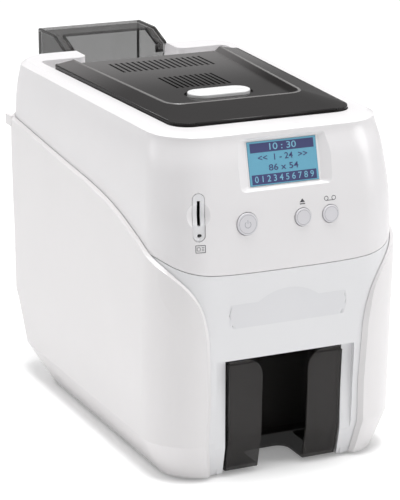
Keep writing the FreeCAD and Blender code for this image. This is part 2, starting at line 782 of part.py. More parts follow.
def button_board(frames):
    plate = box(-BOARD_HALF_X, BOARD_HALF_X, BOARD_AT, BOARD_AT + BOARD_T, -BOARD_HALF_Z, BOARD_HALF_Z)
    return placed(plate, frames["buttons"])


def key_slot_bezel(frames):
    back = KEY_SUNK + KEY_BEZEL_T
    plate = key_outline(KEY_HALF_W, KEY_HALF_H, KEY_SUNK, back)
    slot = box(-KEY_SLOT_HALF_W, KEY_SLOT_HALF_W, 0, back + OVER, KEY_SLOT_Z[0], KEY_SLOT_Z[1])
    led = rod(KEY_LED_R, V(0, 0, KEY_LED_Z), Y_AXIS, back + OVER)
    return placed(plate.cut([slot, led, key_dish()]), frames["key"])


def key_reader(frames):
    front = KEY_SUNK + KEY_BEZEL_T
    body = box(-KEY_READER_HALF_W, KEY_READER_HALF_W, front, front + KEY_READER_LEN,
               -KEY_READER_HALF_H, KEY_READER_HALF_H)
    neck = box(-FAR, FAR, front, front + WALL, -FAR, FAR)
    neck = neck.cut(key_outline(KEY_HALF_W, KEY_HALF_H, front - OVER, front + WALL + OVER))
    slot = box(-KEY_SLOT_HALF_W, KEY_SLOT_HALF_W, front - OVER, front + KEY_READER_SLOT_LEN,
               KEY_SLOT_Z[0], KEY_SLOT_Z[1])
    return placed(body.cut([neck, slot]), frames["key"])


# Front panel, its inlay and the output hopper
def rail_wall():
    wall = box(RAIL_WALL_X[0], RAIL_WALL_X[1], REBATE_BACK_Y - REST_GAP, RAIL_WALL_END_Y,
               COVER_BOTTOM_Z, RAIL_WALL_TOP_Z)
    rail = box(RAIL_INNER_X, RAIL_WALL_X[1], RAIL_START_Y, RAIL_WALL_END_Y, RAIL_Z[0], RAIL_Z[1])
    return wall.fuse(rail)


def nameplate_outline(grow):
    top = PLATE_TOP_Z + grow
    points = [V(-PLATE_BOTTOM_HALF - grow, 0, PLATE_BOTTOM_Z - grow),
              V(PLATE_BOTTOM_HALF + grow, 0, PLATE_BOTTOM_Z - grow),
              V(PLATE_SIDE_HALF + grow, 0, PLATE_SIDE_Z), V(PLATE_TOP_HALF + grow, 0, top),
              V(PLATE_ARCH_HALF + grow, 0, top), V(0, 0, PLATE_ARCH_Z + grow),
              V(-PLATE_ARCH_HALF - grow, 0, top), V(-PLATE_TOP_HALF - grow, 0, top),
              V(-PLATE_SIDE_HALF - grow, 0, PLATE_SIDE_Z)]
    edges = [Part.makeLine(points[0], points[1]), Part.makeLine(points[1], points[2]),
             Part.makeLine(points[2], points[3]), Part.makeLine(points[3], points[4]),
             Part.Arc(points[4], points[5], points[6]).toShape(), Part.makeLine(points[6], points[7]),
             Part.makeLine(points[7], points[8]), Part.makeLine(points[8], points[0])]
    face = Part.Face(Part.Wire(edges))
    return face.extrude(V(0, -FAR, 0))


def plate_pocket(outer, deep):
    """Skin of the front, deep into the wall, inside the inlay's outline."""
    shifted = outer.copy()
    shifted.translate(V(0, deep, 0))
    return outer.cut(shifted)


def front_panel(outer, inner):
    shell = outer.cut(inner).common(box(-FAR, FAR, -FAR, PANEL_BACK_Y, 0, FAR))
    shell = shell.cut(seam_block(-SEAM_GAP))
    frame = box(-REBATE_HALF - REBATE_EDGE, REBATE_HALF + REBATE_EDGE, -FAR, REBATE_BACK_Y,
                0, REBATE_TOP_Z + REBATE_EDGE)
    solid = shell.fuse([frame.common(outer)] + both_sides(rail_wall()))
    rebate = box(-REBATE_HALF, REBATE_HALF, -FAR, REBATE_Y, 0, REBATE_TOP_Z)
    hole = box(-BAY_HOLE_HALF, BAY_HOLE_HALF, -FAR, RAIL_START_Y, 0, BAY_HOLE_TOP_Z)
    inlay = plate_pocket(outer, PLATE_DEPTH).common(nameplate_outline(0))
    return solid.cut([rebate, hole, inlay]).removeSplitter()


def nameplate(outer):
    skin = plate_pocket(outer, PLATE_DEPTH)
    return skin.common(nameplate_outline(-REST_GAP)).common(box(-FAR, FAR, -FAR, PANEL_BACK_Y, 0, FAR))


def hopper_form(inset, top_extra):
    outline = ((OUT_TOP_Y + inset, OUT_TOP_Z + top_extra), (OUT_KNEE_Y + inset, OUT_KNEE_Z),
               (OUT_BOTTOM_Y + inset, OUT_BOTTOM_Z + inset), (OUT_REAR_Y - inset, OUT_BOTTOM_Z + inset),
               (OUT_REAR_Y - inset, OUT_TOP_Z + top_extra))
    side = prism_x(outline, -FAR, FAR)
    wide, narrow = OUT_TOP_HALF - inset, OUT_BOTTOM_HALF - inset
    top_z = OUT_TOP_Z + top_extra
    trapezoid = ((-wide, top_z), (wide, top_z), (narrow, OUT_BOTTOM_Z), (-narrow, OUT_BOTTOM_Z))
    return side.common(prism_y(trapezoid, -FAR, FAR))


def output_hopper():
    shell = hopper_form(0, 0).cut(hopper_form(OUT_WALL, OVER))
    gap = box(-OUT_GAP_HALF, OUT_GAP_HALF, -FAR, OUT_BOTTOM_Y + OUT_WALL + REST_GAP, 0, FAR)
    relief = box(-OUT_GAP_HALF - OUT_GAP_R, OUT_GAP_HALF + OUT_GAP_R, -FAR,
                 OUT_BOTTOM_Y, OUT_TOP_Z - OUT_GAP_R, OUT_TOP_Z + OVER)
    keeps = [rod(OUT_GAP_R, V(side * (OUT_GAP_HALF + OUT_GAP_R), -FAR, OUT_TOP_Z - OUT_GAP_R),
                 Y_AXIS, FAR) for side in (-1, 1)]
    notch_corners = ((-OUT_GAP_HALF, -FAR, SMALL_R), (OUT_GAP_HALF, -FAR, SMALL_R),
                     (OUT_GAP_HALF, OUT_NOTCH_Y, OUT_NOTCH_R), (-OUT_GAP_HALF, OUT_NOTCH_Y, OUT_NOTCH_R))
    notch = plan_prism(notch_corners, 0, OUT_BOTTOM_Z + OUT_WALL + REST_GAP)
    cleared = shell.cut([gap, relief.cut(keeps), notch])
    step = hopper_form(OUT_RIM_STEP, OVER).common(box(-FAR, FAR, -FAR, FAR, OUT_TOP_Z - OUT_RIM_H, FAR))
    rim = box(-FAR, FAR, -FAR, FAR, OUT_TOP_Z - OUT_RIM_H, FAR).cut(step)
    return cleared.cut(rim).removeSplitter()


# Side covers
def lip_point(at, z, reach):
    """Point of the lip beside a place of the side (y) or of the corner (angle)."""
    a = math.radians(at)
    return V(LIP_CENTRE[0] - reach * math.cos(a), LIP_CENTRE[1] - reach * math.sin(a), z)


def lip_pairs():
    inner_reach = LIP_RADIUS - COVER_WALL
    pairs = []
    for y0, z0, y1, z1 in LIP_SIDE:
        pairs.append((V(LIP_CENTRE[0] - LIP_RADIUS, y0, z0), V(LIP_CENTRE[0] - inner_reach, y1, z1)))
    for a0, z0, a1, z1 in LIP_CORNER:
        pairs.append((lip_point(a0, z0, LIP_RADIUS), lip_point(a1, z1, inner_reach)))
    return pairs


def lip_sheet():
    """Slanting strip that cuts the lip, wider than the wall and widest at the rear."""
    pairs = lip_pairs()
    shares = LIP_REAR_SHARES + (LIP_OVER_SHARE,) * len(LIP_CORNER)
    outside = [a + (a - b) * LIP_OVER_SHARE for a, b in pairs]
    inside = [b + (b - a) * share for (a, b), share in zip(pairs, shares)]
    curves = []
    for points in (outside, inside):
        curve = Part.BSplineCurve()
        curve.interpolate(points)
        curves.append(curve.toShape())
    return Part.makeRuledSurface(curves[0], curves[1])


def cover_plan(z, shift):
    """The cover's half of the plan, ended by the slanting front edge."""
    outer, inner = lip_pairs()[-1]
    along = V(inner.x - outer.x, inner.y - outer.y, 0).normalize() * LIP_END_REACH
    front = outer - along
    back = inner + along
    points = [V(front.x - shift, front.y, z), V(back.x - shift, back.y, z), V(-COVER_WRAP_X, back.y, z),
              V(-COVER_WRAP_X, FAR, z), V(-FAR, FAR, z), V(-FAR, front.y, z)]
    return Part.makePolygon(points + [points[0]])


def left_side_cover(cover_outer, cover_inner):
    split_z = LOW_SECTIONS[2][0]
    below = lip_sheet().extrude(V(0, 0, -FAR)).common(box(-FAR, FAR, -FAR, FAR, split_z, FAR))
    shell = cover_outer.cut(cover_inner)
    rear = [(-FAR, COVER_BOTTOM_Z), (-FAR, COVER_REAR[0][1])] + list(COVER_REAR)
    region = prism_x(rear, -FAR, 0)
    shell = shell.common(region)
    foot_plan = Part.makeLoft([cover_plan(0, LIP_FOOT_SHIFT), cover_plan(split_z, 0)], True, True)
    foot_part = shell.common(foot_plan)
    cover = shell.common(below).fuse(foot_part)
    tab = box(-TAB_X[1], -TAB_X[0], TAB_Y[0], TAB_Y[1], TAB_Z[0], TAB_Z[1])
    return cover.fuse(tab).removeSplitter()


# Rear panel, base pan and feet
def port_hole(port):
    x0, z0, z1 = port
    return box(x0 - PORT_GAP, MAIN_BOARD_X[0] + PORT_GAP, PORT_FRONT_Y, FAR, z0 - PORT_GAP, z1 + PORT_GAP)


def rear_panel(outer, inner):
    wall = outer.cut(inner)
    back = box(-FAR, FAR, REAR_SPLIT_Y, FAR, 0, FAR)
    low = box(-FAR, FAR, REAR_LOW_Y, REAR_SPLIT_Y, 0, REAR_LOW_Z)
    shell = wall.common(back.fuse(low)).cut(seam_block(-SEAM_GAP))
    window = box(-REAR_WINDOW_HALF, REAR_WINDOW_HALF, 0, FAR, REAR_WINDOW_Z[0], REAR_WINDOW_Z[1])
    holes = [port_hole(p) for p in (POWER_PORT, USB_PORT, NETWORK_PORT)]
    return shell.cut([window] + holes).removeSplitter()


def base_pan(close_fit):
    slab = box(-FAR, FAR, -FAR, FAR, PAN_Z[0], PAN_Z[1])
    bay = box(-PAN_BAY_HALF, PAN_BAY_HALF, -FAR, PAN_BAY_Y, 0, FAR)
    return close_fit.common(slab).cut(bay)


def foot(x, y):
    return Part.makeCone(FOOT_R - FOOT_TAPER, FOOT_R, PAN_Z[0], V(x, y, 0), Z_AXIS)


# Chassis
def shaft_holes():
    holes = []
    for node, y in FEED_NODES:
        holes.append((y, FEED_AXIS_Z, SHAFT_R))
    holes.append((PLATEN_Y, FEED_AXIS_Z, SHAFT_R))
    holes.append((PICK_Y, FEED_AXIS_Z, SHAFT_R))
    for node, y in PINCH_NODES:
        holes.append((y, LINE_Z + REST_GAP + PINCH_R, PINCH_SHAFT_R))
    return holes


def frame_plate(x0, x1):
    plate = prism_x(PLATE_OUTLINE, x0, x1)
    cuts = [rod_x(r + SHAFT_FIT, x0 - OVER, x1 + OVER, y, z) for y, z, r in shaft_holes()]
    cuts += [rod_x(r, x0 - OVER, x1 + OVER, y, z) for y, z, r in PLATE_LIGHTENING]
    return plate.cut(cuts)


def frame_plate_left():
    plate = frame_plate(-PLATE_OUT, -PLATE_IN)
    posts = [rod_x(STANDOFF_R, MAIN_BOARD_X[1], -PLATE_OUT, y, z) for y, z in STANDOFFS]
    return join([plate] + posts)


def frame_plate_right():
    plate = frame_plate(PLATE_IN, PLATE_OUT)
    bore = rod_x(MOTOR_BOSS_R + SHAFT_FIT, 0, FAR, MOTOR_AXIS[0], MOTOR_AXIS[1])
    return plate.cut(bore)


def card_guide():
    tray = box(-PLATE_IN, PLATE_IN, GUIDE_Y[0], GUIDE_Y[1], GUIDE_Z[0], GUIDE_Z[1])
    fences = both_sides(box(FENCE_X[0], FENCE_X[1], GUIDE_Y[0], GUIDE_Y[1], GUIDE_Z[0], FENCE_TOP_Z))
    rows = [y for node, y in FEED_NODES] + [PLATEN_Y]
    windows = [box(-GUIDE_WINDOW_HALF_X, GUIDE_WINDOW_HALF_X, y - GUIDE_WINDOW_HALF_Y,
                   y + GUIDE_WINDOW_HALF_Y, 0, FAR) for y in rows]
    return join([tray] + fences).cut(windows)


# Rollers and belt drive
def pulley(y, z, bore_from):
    wheel = rod_x(PULLEY_R, PULLEY_X[0], PULLEY_X[1], y, z)
    grooves = []
    for i in range(PULLEY_GROOVES):
        a = math.radians(FULL_TURN * i / PULLEY_GROOVES)
        grooves.append(rod_x(PULLEY_GROOVE_R, PULLEY_X[0] - OVER, PULLEY_X[1] + OVER,
                             y + PULLEY_R * math.cos(a), z + PULLEY_R * math.sin(a)))
    flanges = [rod_x(PULLEY_FLANGE_R, x, x + PULLEY_FLANGE_T, y, z)
               for x in (PULLEY_X[0] - PULLEY_FLANGE_T, PULLEY_X[1])]
    shaft = rod_x(SHAFT_R, bore_from, PULLEY_X[1] + PULLEY_FLANGE_T, y, z)
    return join([wheel.cut(grooves)] + flanges + [shaft])


def driven_roller(y, bands):
    shaft = pulley(y, FEED_AXIS_Z, SHAFT_LEFT_X)
    sleeves = [rod_x(FEED_R, x0, x1, y, FEED_AXIS_Z) for x0, x1 in bands]
    return join([shaft] + sleeves)


def pinch_roller(y):
    z = LINE_Z + REST_GAP + PINCH_R
    shaft = rod_x(PINCH_SHAFT_R, -PINCH_HALF, PINCH_HALF, y, z)
    return join([shaft, rod_x(PINCH_R, -SLEEVE_HALF, SLEEVE_HALF, y, z)])


def loop_form(radius, x0, x1):
    centres = ((FEED_NODES[-1][1], FEED_AXIS_Z), (PICK_Y, FEED_AXIS_Z), MOTOR_AXIS)
    parts = [prism_x(centres, x0, x1)]
    for i in range(len(centres)):
        (ya, za), (yb, zb) = centres[i - 1], centres[i]
        dy, dz = unit(yb - ya, zb - za)
        ny, nz = dz * radius, -dy * radius
        strip = ((ya + ny, za + nz), (yb + ny, zb + nz), (yb - ny, zb - nz), (ya - ny, za - nz))
        parts.append(prism_x(strip, x0, x1))
        parts.append(rod_x(radius, x0, x1, yb, zb))
    return join(parts)


def drive_belt():
    outside = loop_form(PULLEY_R + BELT_GAP + BELT_T, BELT_X[0], BELT_X[1])
    return outside.cut(loop_form(PULLEY_R + BELT_GAP, BELT_X[0] - OVER, BELT_X[1] + OVER))


def transport_motor():
    y, z = MOTOR_AXIS
    body = box(MOTOR_X[0], MOTOR_X[1], y - MOTOR_HALF, y + MOTOR_HALF, z - MOTOR_HALF, z + MOTOR_HALF)
    edges = [e for e in body.Edges if e.BoundBox.XLength > MOTOR_HALF]
    body = body.makeChamfer(MOTOR_CHAMFER, edges)
    boss = rod_x(MOTOR_BOSS_R, MOTOR_X[1] - OVER, MOTOR_X[1] + MOTOR_BOSS_T, y, z)
    bore = rod_x(MOTOR_SHAFT_R + SHAFT_FIT, MOTOR_SHAFT_X - REST_GAP, FAR, y, z)
    return join([body, boss]).cut(bore)


def motor_pulley():
    y, z = MOTOR_AXIS
    shaft = rod_x(MOTOR_SHAFT_R, MOTOR_SHAFT_X, PULLEY_X[0], y, z)
    return join([pulley(y, z, PULLEY_X[0]), shaft])


# Lid
def lid_outline(inset, height):
    front = lid_half(LID_FRONT_Y) - inset
    rear = lid_half(LID_REAR_Y) - inset
    front_y, front_r = LID_FRONT_Y + inset, LID_FRONT_R - inset
    rear_y, rear_r = LID_REAR_Y - inset, LID_REAR_R - inset * HALF
    corners = ((-front, front_y, front_r), (front, front_y, front_r),
               (rear, rear_y, rear_r), (-rear, rear_y, rear_r))
    return rounded_wire(corners, height)


def ridge_outline(inset, rear_y, height):
    front = RIDGE_FRONT_HALF - inset
    rear = RIDGE_REAR_HALF - inset
    front_y, front_r = RIDGE_FRONT_Y + inset, RIDGE_R - inset
    corners = ((-front, front_y, front_r), (front, front_y, front_r),
               (rear, rear_y, RIDGE_REAR_R), (-rear, rear_y, RIDGE_REAR_R))
    return rounded_wire(corners, height)


def dish_floor_z(y):
    return lid_z(y) + LID_RISE - DISH_DEPTH


def flange_top_z():
    """Top of the release button's flange, just under the lid's floor."""
    front = RELEASE_Y - RELEASE_HALF_Y - RELEASE_FLANGE_OUT
    return dish_floor_z(front) - LID_FLOOR_T - RELEASE_FLANGE_GAP


def vent_slots():
    slots = []
    for count, span, y0, y1, width in VENTS:
        for i in range(count):
            x = span * (i / (count - 1) - HALF)
            slots.append(box(x - width * HALF, x + width * HALF, y0, y1, SKIRT_Z, FAR))
    return slots


def oval(half_x, half_y, z0, z1):
    middle = box(half_y - half_x, half_x - half_y, RELEASE_Y - half_y, RELEASE_Y + half_y, z0, z1)
    ends = [rod(half_y, V(side * (half_x - half_y), RELEASE_Y, z0), Z_AXIS, z1 - z0) for side in (-1, 1)]
    return middle.fuse(ends)


def latch_rails():
    top = lid_z(RELEASE_Y) - LID_FLOOR_T
    lip_top = LATCH_TOP_Z - LATCH_T - REST_GAP
    low = lip_top - LATCH_RAIL_T
    rail = box(LATCH_RAIL_X[0], LATCH_RAIL_X[1], LATCH_RAIL_Y[0], LATCH_RAIL_Y[1], low, top)
    lip = box(LATCH_RAIL_LIP, LATCH_RAIL_X[1], LATCH_RAIL_Y[0], LATCH_RAIL_Y[1], low, lip_top)
    return both_sides(rail.fuse(lip))


def top_lid():
    rim_low = lid_outline(0, lambda y: lid_z(y) - LID_SKIRT)
    rim = lid_outline(0, lid_z)
    ridge = ridge_outline(0, RIDGE_REAR_Y, lambda y: lid_z(y) + LID_RISE)
    skirt = Part.makeLoft([rim_low, rim], True, True)
    crown = Part.makeLoft([rim, ridge], True, True)
    open_y = LID_REAR_Y + OVER
    dish_top = ridge_outline(RIDGE_FLAT, open_y, lambda y: lid_z(y) + LID_RISE)
    dish_low = ridge_outline(RIDGE_FLAT + DISH_SLOPE, open_y, dish_floor_z)
    dish = Part.makeLoft([dish_low, dish_top], True, True)
    dish_over = dish_top.copy()
    dish_over.translate(V(0, 0, OVER))
    dish = dish.fuse(Part.makeLoft([dish_top, dish_over], True, True))
    under_low = lid_outline(LID_SKIN, lambda y: lid_z(y) - LID_SKIRT - OVER)
    under_top = lid_outline(LID_SKIN, lambda y: dish_floor_z(y) - LID_FLOOR_T)
    under = Part.makeLoft([under_low, under_top], True, True)
    solid = skirt.fuse(crown).cut([dish, under])
    bosses = []
    for x, y in LID_BOSSES:
        length = lid_z(y) - LID_FLOOR_T - TOP_PLATE_TOP_Z
        bosses.append(rod(LID_BOSS_R, V(x, y, TOP_PLATE_TOP_Z), Z_AXIS, length))
    ear = box(EAR_X[0], EAR_X[1], EAR_Y, HINGE_Y, HINGE_Z - EAR_DROP, HINGE_Z + EAR_RISE)
    ears = both_sides(ear)
    ears += both_sides(rod_x(HINGE_R, EAR_X[0], EAR_X[1], HINGE_Y, HINGE_Z))
    solid = solid.fuse(bosses + ears + latch_rails())
    hole = oval(RELEASE_HALF_X + RELEASE_GAP, RELEASE_HALF_Y + RELEASE_GAP, SKIRT_Z, FAR)
    well_z = dish_floor_z(RELEASE_Y) - WELL_DEPTH
    well = oval(RELEASE_HALF_X + WELL_MARGIN, RELEASE_HALF_Y + WELL_MARGIN, well_z, FAR)
    bore = rod_x(PIN_R + SHAFT_FIT, -EAR_X[1] - OVER, EAR_X[1] + OVER, HINGE_Y, HINGE_Z)
    return solid.cut([hole, well, bore] + vent_slots()).removeSplitter()


def lid_hinge_pin():
    return rod_x(PIN_R, -PIN_HALF, PIN_HALF, HINGE_Y, HINGE_Z)


def lid_release_button():
    flange_top = flange_top_z()
    flange_low = flange_top - RELEASE_FLANGE_T
    top = dish_floor_z(RELEASE_Y) + RELEASE_PROUD
    cap = oval(RELEASE_HALF_X, RELEASE_HALF_Y, flange_low, top).removeSplitter()
    top_edges = [e for e in cap.Edges if e.BoundBox.ZMin > top - REST_GAP]
    cap = cap.makeFillet(RELEASE_EDGE_R, top_edges)
    out = RELEASE_FLANGE_OUT
    flange = oval(RELEASE_HALF_X + out, RELEASE_HALF_Y + out, flange_low, flange_top)
    foot_z = LATCH_TOP_Z + REST_GAP
    wedge = ((POST_Y[0], foot_z), (POST_Y[1], foot_z), (POST_Y[1] + POST_RUN, foot_z + POST_RUN),
             (POST_Y[1] + POST_RUN, flange_top), (POST_Y[0], flange_top))
    return join([cap, flange, prism_x(wedge, -POST_HALF, POST_HALF)])


def lid_latch():
    bar = box(-LATCH_HALF, LATCH_HALF, LATCH_Y[0], LATCH_Y[1], LATCH_TOP_Z - LATCH_T, LATCH_TOP_Z)
    window = box(-LATCH_WINDOW_HALF, LATCH_WINDOW_HALF, LATCH_WINDOW_Y[0], LATCH_WINDOW_Y[1], 0, FAR)
    return bar.cut(window)


# Head bracket and print head
def head_bracket():
    y0, y1 = CHEEK_Y
    top_z = TOP_PLATE_TOP_Z
    outline = [(y0, CHEEK_FOOT_Z)] + list(CHEEK_TOE) + [(y1, CHEEK_FOOT_Z), (y1, top_z), (y0, top_z)]
    cheek = prism_x(outline, CHEEK_X[0], CHEEK_X[1])
    cheek = cheek.cut([box(0, FAR, a, b, CHEEK_WINDOW_FOOT_Z, top_z - CHEEK_WINDOW_DROP)
                       for a, b in CHEEK_WINDOWS_Y])
    top = box(-CHEEK_X[1], CHEEK_X[1], y0, y1, top_z - TOP_PLATE_T, top_z)
    beam = box(-CHEEK_X[1], CHEEK_X[1], BEAM_Y[0], BEAM_Y[1], BEAM_Z[0], BEAM_Z[1])
    hanger = box(HANGER_X[0], HANGER_X[1], HANGER_Y[0], HANGER_Y[1], HANGER_Z, top_z)
    y, z = pinion_axis()
    hanger = hanger.cut(rod_x(HANGER_HOLE_R, HANGER_X[0] - OVER, HANGER_X[1] + OVER, y, z))
    return join(both_sides(cheek) + [top, beam, hanger])


def print_head():
    y = PLATEN_Y
    outline = ((y - HEAD_EDGE_HALF, HEAD_EDGE_Z), (y + HEAD_EDGE_HALF, HEAD_EDGE_Z),
               (y + HEAD_HALF_Y, HEAD_SHOULDER_Z), (y + HEAD_HALF_Y, BEAM_Z[0]),
               (y - HEAD_HALF_Y, BEAM_Z[0]), (y - HEAD_HALF_Y, HEAD_SHOULDER_Z))
    body = prism_x(outline, -HEAD_HALF_X, HEAD_HALF_X)
    trims = both_sides(box(HEAD_LOW_HALF_X, FAR, -FAR, FAR, 0, HEAD_LOW_Z))
    fins = []
    pitch = (HEAD_HALF_X + HEAD_HALF_X) / HEAD_FIN_COUNT
    for i in range(HEAD_FIN_COUNT):
        x = pitch * (i + HALF) - HEAD_HALF_X
        for y0, y1 in ((y - HEAD_HALF_Y - OVER, y - HEAD_EDGE_HALF - HEAD_EDGE_HALF),
                       (y + HEAD_EDGE_HALF + HEAD_EDGE_HALF, y + HEAD_HALF_Y + OVER)):
            fins.append(box(x - HEAD_FIN_SLOT * HALF, x + HEAD_FIN_SLOT * HALF, y0, y1,
                            HEAD_FIN_Z, BEAM_Z[0] - HEAD_FIN_SLOT))
    return body.cut(trims + fins)


# Ribbon cassette, spools, film and their drive
def ribbon_cassette():
    x0, x1 = CASSETTE_X
    ends = [rod_x(CASSETTE_END_R, x0, x1, y, z) for y, z in (SUPPLY, TAKEUP)]
    bar = box(x0, x1, TAKEUP[0], SUPPLY[0], CASSETTE_BAR_Z[0], CASSETTE_BAR_Z[1])
    pads = [rod_x(CASSETTE_PAD_R, x0, CHEEK_X[0], y, z) for y, z in (SUPPLY, TAKEUP)]
    cheek = join(ends + [bar] + pads)
    cheek = cheek.cut([rod_x(SPOOL_SHAFT_R + SHAFT_FIT, 0, x1, y, z) for y, z in (SUPPLY, TAKEUP)])
    ties = [box(-x1, x1, FRONT_TIE_Y[0], FRONT_TIE_Y[1], FRONT_TIE_Z[0], FRONT_TIE_Z[1]),
            box(-x1, x1, REAR_TIE_Y[0], REAR_TIE_Y[1], REAR_TIE_Z[0], REAR_TIE_Z[1])]
    return join(both_sides(cheek) + ties)


def spool(centre, radius):
    y, z = centre
    roll = rod_x(radius, -ROLL_HALF, ROLL_HALF, y, z)
    return join([roll, rod_x(SPOOL_SHAFT_R, -SPOOL_END, SPOOL_END, y, z)])


def tangent_point(centre, radius, start):
    """Where a strip from start touches the underside of a roll."""
    dy, dz = centre[0] - start[0], centre[1] - start[1]
    distance = math.hypot(dy, dz)
    side = 1 if dy > 0 else -1
    lean = math.atan2(dz, abs(dy)) - math.asin(radius / distance)
    length = math.sqrt(distance * distance - radius * radius)
    return start[0] + side * length * math.cos(lean), start[1] + length * math.sin(lean)


def film_points(z, extra):
    near, far = PLATEN_Y + HEAD_EDGE_HALF, PLATEN_Y - HEAD_EDGE_HALF
    start_supply, start_take = (near, z), (far, z)
    supply = tangent_point(SUPPLY, SUPPLY_R + extra, start_supply)
    take = tangent_point(TAKEUP, TAKEUP_R + extra, start_take)
    return [supply, start_supply, start_take, take]


def ribbon_film():
    lower = film_points(FILM_BOTTOM_Z, FILM_GAP + FILM_T)
    upper = film_points(FILM_BOTTOM_Z + FILM_T, FILM_GAP)
    return prism_x(lower + upper[::-1], -FILM_HALF, FILM_HALF)


def pitch_radius(teeth):
    return GEAR_MODULE * teeth * HALF


def pinion_axis():
    return TAKEUP[0], TAKEUP[1] + pitch_radius(GEAR_TEETH) + pitch_radius(PINION_TEETH)


def toothed_wheel(teeth, centre, start_angle, x0, x1):
    """Spur wheel with trapezoid teeth; the first tooth points at start_angle."""
    y, z = centre
    root = pitch_radius(teeth) - GEAR_MODULE - GEAR_CLEAR
    tip = pitch_radius(teeth) + GEAR_MODULE - GEAR_CLEAR * HALF
    pitch = FULL_TURN / teeth
    half_root = pitch * TOOTH_ROOT_SHARE * HALF
    half_tip = pitch * TOOTH_TIP_SHARE * HALF
    outline = []
    for i in range(teeth):
        middle = start_angle + pitch * i
        for radius, turn in ((root, -half_root), (tip, -half_tip), (tip, half_tip), (root, half_root)):
            a = math.radians(middle + turn)
            outline.append((y + radius * math.cos(a), z + radius * math.sin(a)))
    return prism_x(outline, x0, x1)


def takeup_gear():
    wheel = toothed_wheel(GEAR_TEETH, TAKEUP, RIGHT_ANGLE, GEAR_X[0], GEAR_X[1])
    bore = rod_x(SPOOL_SHAFT_R, GEAR_X[0] - OVER, GEAR_X[1] + OVER, TAKEUP[0], TAKEUP[1])
    return wheel.cut(bore)


def ribbon_pinion():
    y, z = pinion_axis()
    between = HALF * FULL_TURN / PINION_TEETH
    wheel = toothed_wheel(PINION_TEETH, (y, z), -RIGHT_ANGLE + between, GEAR_X[0], GEAR_X[1])
    return join([wheel, rod_x(PINION_SHAFT_R, GEAR_X[0], PINION_SHAFT_X, y, z)])


def ribbon_motor():
    y, z = pinion_axis()
    body = rod_x(RIBBON_MOTOR_R, RIBBON_MOTOR_X[0], RIBBON_MOTOR_X[1], y, z)
    return body.cut(rod_x(PINION_SHAFT_R + SHAFT_FIT, -FAR, PINION_SHAFT_X + REST_GAP, y, z))


# Feeder base, input hopper and card weight
def feeder_base():
    left, right = BASE_X
    corners = ((left, BASE_Y[0], SMALL_R), (right, BASE_Y[0], SMALL_R),
               (right, BASE_Y[1], BASE_R), (left, BASE_Y[1], BASE_R))
    block = plan_prism(corners, BASE_Z[0], BASE_Z[1])
    room = box(left + BASE_WALL, right - BASE_WALL, BASE_Y[0] - OVER, BASE_Y[1] - BASE_WALL,
               BASE_Z[0] + BASE_WALL, BASE_Z[1] - BASE_WALL)
    slot = box(BASE_SLOT_X[0], BASE_SLOT_X[1], BASE_Y[0] - OVER, BASE_SLOT_Y, FEED_AXIS_Z, FAR)
    window = box(-BASE_WINDOW_HALF_X, BASE_WINDOW_HALF_X, PICK_Y - BASE_WINDOW_HALF_Y,
                 PICK_Y + BASE_WINDOW_HALF_Y, FEED_AXIS_Z, FAR)
    wheel = box(PULLEY_X[0] - PULLEY_FLANGE_T - REST_GAP, PULLEY_X[1] + PULLEY_FLANGE_T + REST_GAP,
                BASE_Y[0] - OVER, PICK_Y + PULLEY_FLANGE_R + REST_GAP, FEED_AXIS_Z, FAR)
    return block.cut([room, window, wheel] + both_sides(slot))


def side_profile(out):
    """Side of the hopper: upright at the back, its top running down to a nose."""
    roof = HOPPER_ROOF_Y
    return ((HOPPER_FRONT_Y, BASE_Z[1]), (HOPPER_REAR_Y, BASE_Z[1]), (HOPPER_REAR_Y, HOPPER_TOP_Z + out),
            (roof, HOPPER_TOP_Z + out), (HOPPER_FRONT_Y, HOPPER_NOSE_Z + out))


def input_hopper():
    outer = prism_x(side_profile(0), -HOPPER_OUT, HOPPER_OUT)
    rear_edges = [e for e in outer.Edges if e.BoundBox.XLength > HOPPER_OUT
                  and e.BoundBox.ZMin > HOPPER_NOSE_Z - REST_GAP]
    outer = outer.makeFillet(HOPPER_EDGE_R, rear_edges)
    room = box(-HOPPER_IN, HOPPER_IN, HOPPER_INNER_Y[0], HOPPER_INNER_Y[1], 0, FAR)
    roof = prism_x(side_profile(-HOPPER_ROOF_T), -HOPPER_OUT, HOPPER_OUT)
    room = room.common(roof.fuse(box(-FAR, FAR, -FAR, FAR, 0, HOPPER_NOSE_Z - HOPPER_NOSE_DROP)))
    mouth_half = HOPPER_OUT - HOPPER_FLANGE
    mouth = box(-mouth_half, mouth_half, 0, HOPPER_ROOF_Y, HOPPER_FRONT_TOP_Z, FAR)
    under = HOPPER_NOSE_Z - HOPPER_NOSE_DROP
    throat = box(-HOPPER_IN, HOPPER_IN, 0, HOPPER_INNER_Y[0] + OVER, HOPPER_FRONT_TOP_Z, under)
    gate = box(-HOPPER_IN, HOPPER_IN, 0, HOPPER_INNER_Y[0] + OVER, 0, HOPPER_GATE_Z)
    return outer.cut([room, mouth, throat, gate])


def card_weight():
    corners = ((-WEIGHT_HALF, WEIGHT_Y[0], WEIGHT_R), (WEIGHT_HALF, WEIGHT_Y[0], WEIGHT_R),
               (WEIGHT_HALF, WEIGHT_Y[1], WEIGHT_R), (-WEIGHT_HALF, WEIGHT_Y[1], WEIGHT_R))
    plate = plan_prism(corners, WEIGHT_Z[0], WEIGHT_Z[1])
    grip = box(-WEIGHT_GRIP_HALF, WEIGHT_GRIP_HALF, WEIGHT_GRIP_Y[0], WEIGHT_GRIP_Y[1],
               WEIGHT_Z[0], WEIGHT_GRIP_TOP_Z)
    return join([plate, grip])


